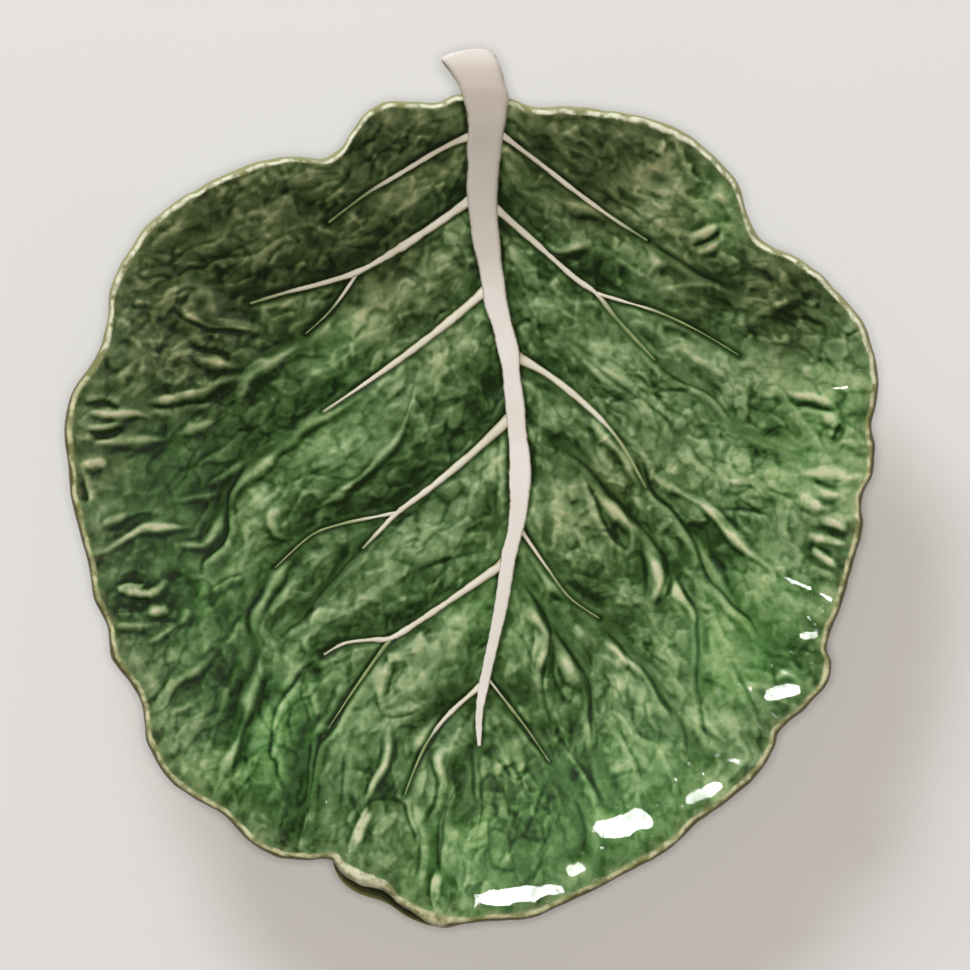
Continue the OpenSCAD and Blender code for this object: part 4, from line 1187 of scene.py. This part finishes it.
class Nodes:
    """Short calls that add linked shader nodes to a new material."""

    def __init__(self, name):
        self.material = bpy.data.materials.new(name)
        self.material.use_nodes = True
        self.tree = self.material.node_tree
        self.shader = self.tree.nodes["Principled BSDF"]

    def link(self, source, target):
        self.tree.links.new(source, target)

    def attribute(self, name):
        node = self.tree.nodes.new("ShaderNodeAttribute")
        node.attribute_name = name
        return node.outputs["Fac"]

    def noise(self, scale, detail=4, rough=0.55):
        coords = self.tree.nodes.new("ShaderNodeTexCoord")
        node = self.tree.nodes.new("ShaderNodeTexNoise")
        node.inputs["Scale"].default_value = scale
        node.inputs["Detail"].default_value = detail
        node.inputs["Roughness"].default_value = rough
        self.link(coords.outputs["Object"], node.inputs["Vector"])
        return node.outputs["Fac"]

    def math(self, operation, a, b, clamp=False):
        node = self.tree.nodes.new("ShaderNodeMath")
        node.operation, node.use_clamp = operation, clamp
        for socket, value in zip(node.inputs, (a, b)):
            if isinstance(value, (int, float)):
                socket.default_value = value
            else:
                self.link(value, socket)
        return node.outputs[0]

    def ranged(self, value, low, high, to_low=0, to_high=1):
        node = self.tree.nodes.new("ShaderNodeMapRange")
        for socket, number in zip(node.inputs[1:5], (low, high, to_low, to_high)):
            socket.default_value = number
        self.link(value, node.inputs[0])
        return node.outputs[0]

    def ramp(self, value, stops):
        node = self.tree.nodes.new("ShaderNodeValToRGB")
        marks = node.color_ramp.elements
        while len(marks) < len(stops):
            marks.new(0.5)
        for mark, (at, colour) in zip(marks, stops):
            mark.position, mark.color = at, colour
        self.link(value, node.inputs[0])
        return node.outputs[0]

    def mix(self, share, a, b):
        node = self.tree.nodes.new("ShaderNodeMix")
        node.data_type = "RGBA"
        for socket, value in zip((node.inputs[0], node.inputs[6], node.inputs[7]), (share, a, b)):
            if isinstance(value, (int, float, tuple)):
                socket.default_value = value
            else:
                self.link(value, socket)
        return node.outputs[2]

    def swing(self, scale, detail, far):
        """Noise as a value that swings so far to both sides of zero."""
        return self.ranged(self.noise(scale, detail), NOISE_LOW, NOISE_HIGH, -far, far)

    def complete(self, colour, gloss, grain):
        """Links the colour, the roughness (noise scale, low, high) and the bump (scale, detail, metres)."""
        self.link(colour, self.shader.inputs["Base Color"])
        rough = self.ranged(self.noise(gloss[0]), NOISE_LOW, NOISE_HIGH, gloss[1], gloss[2])
        self.link(rough, self.shader.inputs["Roughness"])
        node = self.tree.nodes.new("ShaderNodeBump")
        node.inputs["Distance"].default_value = grain[2]
        self.link(self.noise(grain[0], grain[1]), node.inputs["Height"])
        self.link(node.outputs[0], self.shader.inputs["Normal"])
        return self.material


THIN_TO_DEEP = (0.0, 0.16, 0.33, 0.5, 0.67, 0.84, 1.0)
GREEN = [(208, 206, 168), (162, 177, 130), (124, 149, 101), (92, 119, 73), (64, 92, 48), (42, 66, 28),
         (24, 42, 12)]
BROWN = [(202, 196, 156), (156, 162, 116), (116, 128, 85), (86, 102, 61), (62, 78, 41), (41, 56, 24),
         (23, 35, 11)]
BRIGHT = [(192, 202, 154), (152, 180, 122), (116, 154, 92), (84, 126, 66), (58, 98, 44), (39, 71, 27),
          (23, 45, 13)]


def leaf_colour(n):
    """Colour of the upper face: pale where the glaze is thin over a ridge, dark where it pools. The glaze
    field holds painted shade and painted light as well, and the brownish-green mask holds painted shade.
    """
    mottle = n.math("ADD", n.swing(650, 6, 0.05), n.swing(180, 4, 0.1))
    depth = n.math("ADD", n.ranged(n.attribute("glaze"), -3.2, 2.8, 0, 1), mottle, clamp=True)
    plain, brown, bright = (n.ramp(depth, [(at, srgb(*colour)) for at, colour in zip(THIN_TO_DEEP, colours)])
                            for colours in (GREEN, BROWN, BRIGHT))
    patches = n.swing(32, 3, 0.35)
    leaf = n.mix(n.math("ADD", n.attribute("vivid"), patches, clamp=True), plain, bright)
    # Brownish-green and darker where the mask is strong: glaze colour and painted shade
    return n.mix(n.math("ADD", n.attribute("olive_and_shade"), patches, clamp=True), leaf, brown)


def green_glaze():
    """Translucent green glaze, worn pale over the lip and mottled on the outside. The lip is paler towards
    the window as painted light and darker away from it as painted shade, and the folded lip is dark with
    glaze and painted shade.
    """
    n = Nodes("green_glaze")
    painted_light_and_bare = n.attribute("painted_light_and_bare")
    lip = n.math("ADD", n.attribute("lip"), n.swing(160, 3, 0.08))
    patchy = n.math("ADD", n.attribute("lip"), n.swing(260, 4, 0.14))
    worn = n.ranged(patchy, -0.06, 0.2, 0, 0.5)
    crest = n.ranged(lip, 0.08, 0.18, 0, 0.95)
    outer = n.ranged(lip, 0.3, 0.4, 0, 1)
    under = n.ranged(lip, 0.72, 0.86, 0, 1)
    outside = n.mix(n.ranged(n.noise(60), 0.35, 0.65), srgb(64, 92, 46), srgb(92, 118, 66))
    outside = n.mix(n.ranged(n.noise(16, 3), 0.35, 0.65, 0, 0.6), outside, srgb(46, 76, 34))
    # Painted light: the crest is paler towards the window
    pale = n.mix(painted_light_and_bare, srgb(208, 204, 160), srgb(236, 234, 208))
    bare = n.math("ADD", n.noise(190, 4), n.ranged(painted_light_and_bare, 0, 1, 0, 0.03))
    rim = n.mix(n.ranged(bare, 0.42, 0.58), srgb(134, 138, 88), pale)
    colour = n.mix(worn, leaf_colour(n), srgb(148, 154, 106))
    colour = n.mix(crest, colour, rim)
    # The lip's outer band: darker brown away from the window as painted shade, paler towards it as painted
    # light
    colour = n.mix(outer, colour, n.mix(painted_light_and_bare, srgb(94, 88, 56), srgb(150, 152, 104)))
    colour = n.mix(under, colour, outside)
    # Dark glaze on the folded lip's outside, made darker as painted shade under the fold
    colour = n.mix(n.attribute("folded"), colour, srgb(22, 34, 8))
    # A pale line along the fold's wall
    colour = n.mix(n.attribute("fold_pale_line"), colour, srgb(132, 130, 80))
    return n.complete(colour, gloss=(90, 0.035, 0.08), grain=(500, 2, 0.000008))


def cream_glaze(name, pale, tan, edge_from):
    """Clear glaze over pale clay, with the green creeping in at the edges and towards a vein's tip."""
    n = Nodes(name)
    clay = n.mix(n.ranged(n.noise(60), 0.35, 0.65), srgb(*pale[0]), srgb(*pale[1]))
    # A darker, pinker tint over the stalk's tab and upper part
    clay = n.mix(n.attribute("pink_tint"), clay, srgb(203, 189, 177))
    edge = n.math("ADD", n.attribute("edge"), n.swing(260, 4, 0.12))
    edged = n.mix(n.ranged(edge, edge_from, 0.97), clay, srgb(*tan))
    edged = n.mix(n.ranged(edge, 0.97, 1.06), edged, srgb(104, 98, 62))
    tip = n.mix(n.ranged(n.noise(200), 0.4, 0.6), srgb(122, 144, 90), srgb(160, 168, 118))
    colour = n.mix(n.attribute("fade"), edged, tip)
    return n.complete(colour, gloss=(90, 0.12, 0.22), grain=(500, 2, 0.00004))


def bare_clay():
    """Unglazed clay of the foot, with a fine grain."""
    n = Nodes("bare_clay")
    colour = n.mix(n.ranged(n.noise(400), 0.35, 0.65), srgb(206, 188, 162), srgb(186, 166, 138))
    return n.complete(colour, gloss=(250, 0.75, 0.95), grain=(1500, 3, 0.0001))


def floor_finish():
    """A plain pale table top."""
    n = Nodes("floor_finish")
    n.link(n.mix(n.ranged(n.noise(3), 0.3, 0.7), srgb(232, 229, 226), srgb(228, 225, 222)),
           n.shader.inputs["Base Color"])
    n.shader.inputs["Roughness"].default_value = 0.8
    n.shader.inputs["Specular IOR Level"].default_value = 0.2
    return n.material


# The piece for each node
green, clay = green_glaze(), bare_clay()
stalk_cream = cream_glaze("stalk_glaze", [(238, 231, 224), (231, 222, 213)], (210, 197, 174), 0.9)
vein_cream = cream_glaze("vein_glaze", [(234, 228, 212), (220, 212, 192)], (166, 156, 112), 0.5)


def dress(piece, node):
    """Puts a piece in the place of its node."""
    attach(piece, "root")
    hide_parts(node)


dress(leaf_blade(green), "leaf_blade")
dress(stalk(stalk_cream), "stalk")
for name, share, cream_share, _ in VEINS_PX:
    dress(side_vein(name, share, cream_share, vein_cream), name)
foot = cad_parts["foot_ring"]
foot.data.materials.clear()
foot.data.materials.append(clay)

# Floor, lights and camera
bpy.ops.mesh.primitive_plane_add(size=8)
floor = bpy.context.object
floor.name = "floor"
floor.data.materials.append(floor_finish())

PHOTO_SIDE = 970
CAMERA_FAR = 6.0
SENSOR = 36
FRAME_MM = PHOTO_SIDE * SCALE_X
camera = bpy.data.objects.new("camera", bpy.data.cameras.new("camera"))
bpy.context.scene.collection.objects.link(camera)
camera.data.sensor_width = SENSOR
camera.data.lens = SENSOR * CAMERA_FAR / (FRAME_MM * MM)
camera.data.clip_end = 100
middle = place((PHOTO_SIDE / 2, PHOTO_SIDE / 2)) * MM
camera.location = (middle[0], middle[1], CAMERA_FAR + RIM_H * MM)
bpy.context.scene.camera = camera


LAMP_FAR = 4.0
PANE_ANGLE = 0.5
PANE_PER_PX = 0.008
PANE_WATTS = 160


def hang(name, lamp, lights, mirrored):
    """A lamp that the camera doesn't see, for shading, for mirrored highlights or for both."""
    holder = bpy.data.objects.new(name, lamp)
    holder.visible_camera = False
    holder.visible_diffuse = lights
    holder.visible_glossy = mirrored
    bpy.context.scene.collection.objects.link(holder)
    return holder


def soft_box(name, azimuth, elevation, size, watts, mirrored):
    """A rectangular lamp that faces the plate, for its shading or only for its mirrored highlights.

    The azimuth is in degrees anticlockwise from +X, and the elevation in degrees above the table.
    """
    lamp = bpy.data.lights.new(name, "AREA")
    lamp.shape = "RECTANGLE"
    lamp.size, lamp.size_y = size
    lamp.energy = watts
    holder = hang(name, lamp, not mirrored, mirrored)
    a, e = math.radians(azimuth), math.radians(elevation)
    level_far = LAMP_FAR * math.cos(e)
    holder.location = (level_far * math.cos(a), level_far * math.sin(a), LAMP_FAR * math.sin(e))
    holder.rotation_euler = (math.pi / 2 - e, 0, a + math.pi / 2)
    return lamp


def window_pane(name, px, py, angle):
    """A small lamp, so many degrees wide, that the facet at a pixel point mirrors to the camera."""
    x, y = place((px, py))
    height, slope_x, slope_y = tangent_plane(x, y)
    facet = Vector((x, y, height)) * MM
    normal = Vector((-slope_x, -slope_y, 1)).normalized()
    towards = (camera.location - facet).normalized().reflect(normal) * -1
    side = 2 * LAMP_FAR * math.tan(math.radians(angle / 2))
    lamp = bpy.data.lights.new(name, "AREA")
    lamp.size = side
    lamp.energy = PANE_WATTS * side * side
    holder = hang(name, lamp, False, True)
    holder.location = facet + towards * LAMP_FAR
    holder.rotation_euler = (towards * -1).to_track_quat("-Z", "Y").to_euler()


window_light = soft_box("window_light", WINDOW_AZIMUTH, 29, size=(1.6, 1.1), watts=112, mirrored=False)
window_light.color = (0.87, 0.94, 1.0)
overhead = bpy.data.lights.new("overhead", "SUN")
overhead.energy = 1.7
overhead.color = (1.0, 0.95, 0.9)
overhead.angle = math.radians(12)
hang("overhead", overhead, True, False)
for k, (px, py, half_length, *_) in enumerate(FACETS_PX):
    window_pane(f"pane_{k}", px, py, PANE_ANGLE + PANE_PER_PX * half_length)
soft_box("sky_sheen", WINDOW_AZIMUTH, 52, size=(4.0, 2.8), watts=12, mirrored=True)
soft_box("room_sheen", 5, 22, size=(5.0, 3.4), watts=11, mirrored=True)

world = bpy.data.worlds.new("studio")
bpy.context.scene.world = world
world.use_nodes = True
sky = world.node_tree
rays = sky.nodes.new("ShaderNodeLightPath")
level = sky.nodes.new("ShaderNodeMapRange")
level.inputs["To Min"].default_value = 0.14
level.inputs["To Max"].default_value = 0.1
sky.links.new(rays.outputs["Is Glossy Ray"], level.inputs["Value"])
sky.links.new(level.outputs[0], sky.nodes["Background"].inputs["Strength"])
sky.nodes["Background"].inputs["Color"].default_value = (1, 0.96, 0.92, 1)
bpy.context.scene.view_settings.view_transform = "Standard"
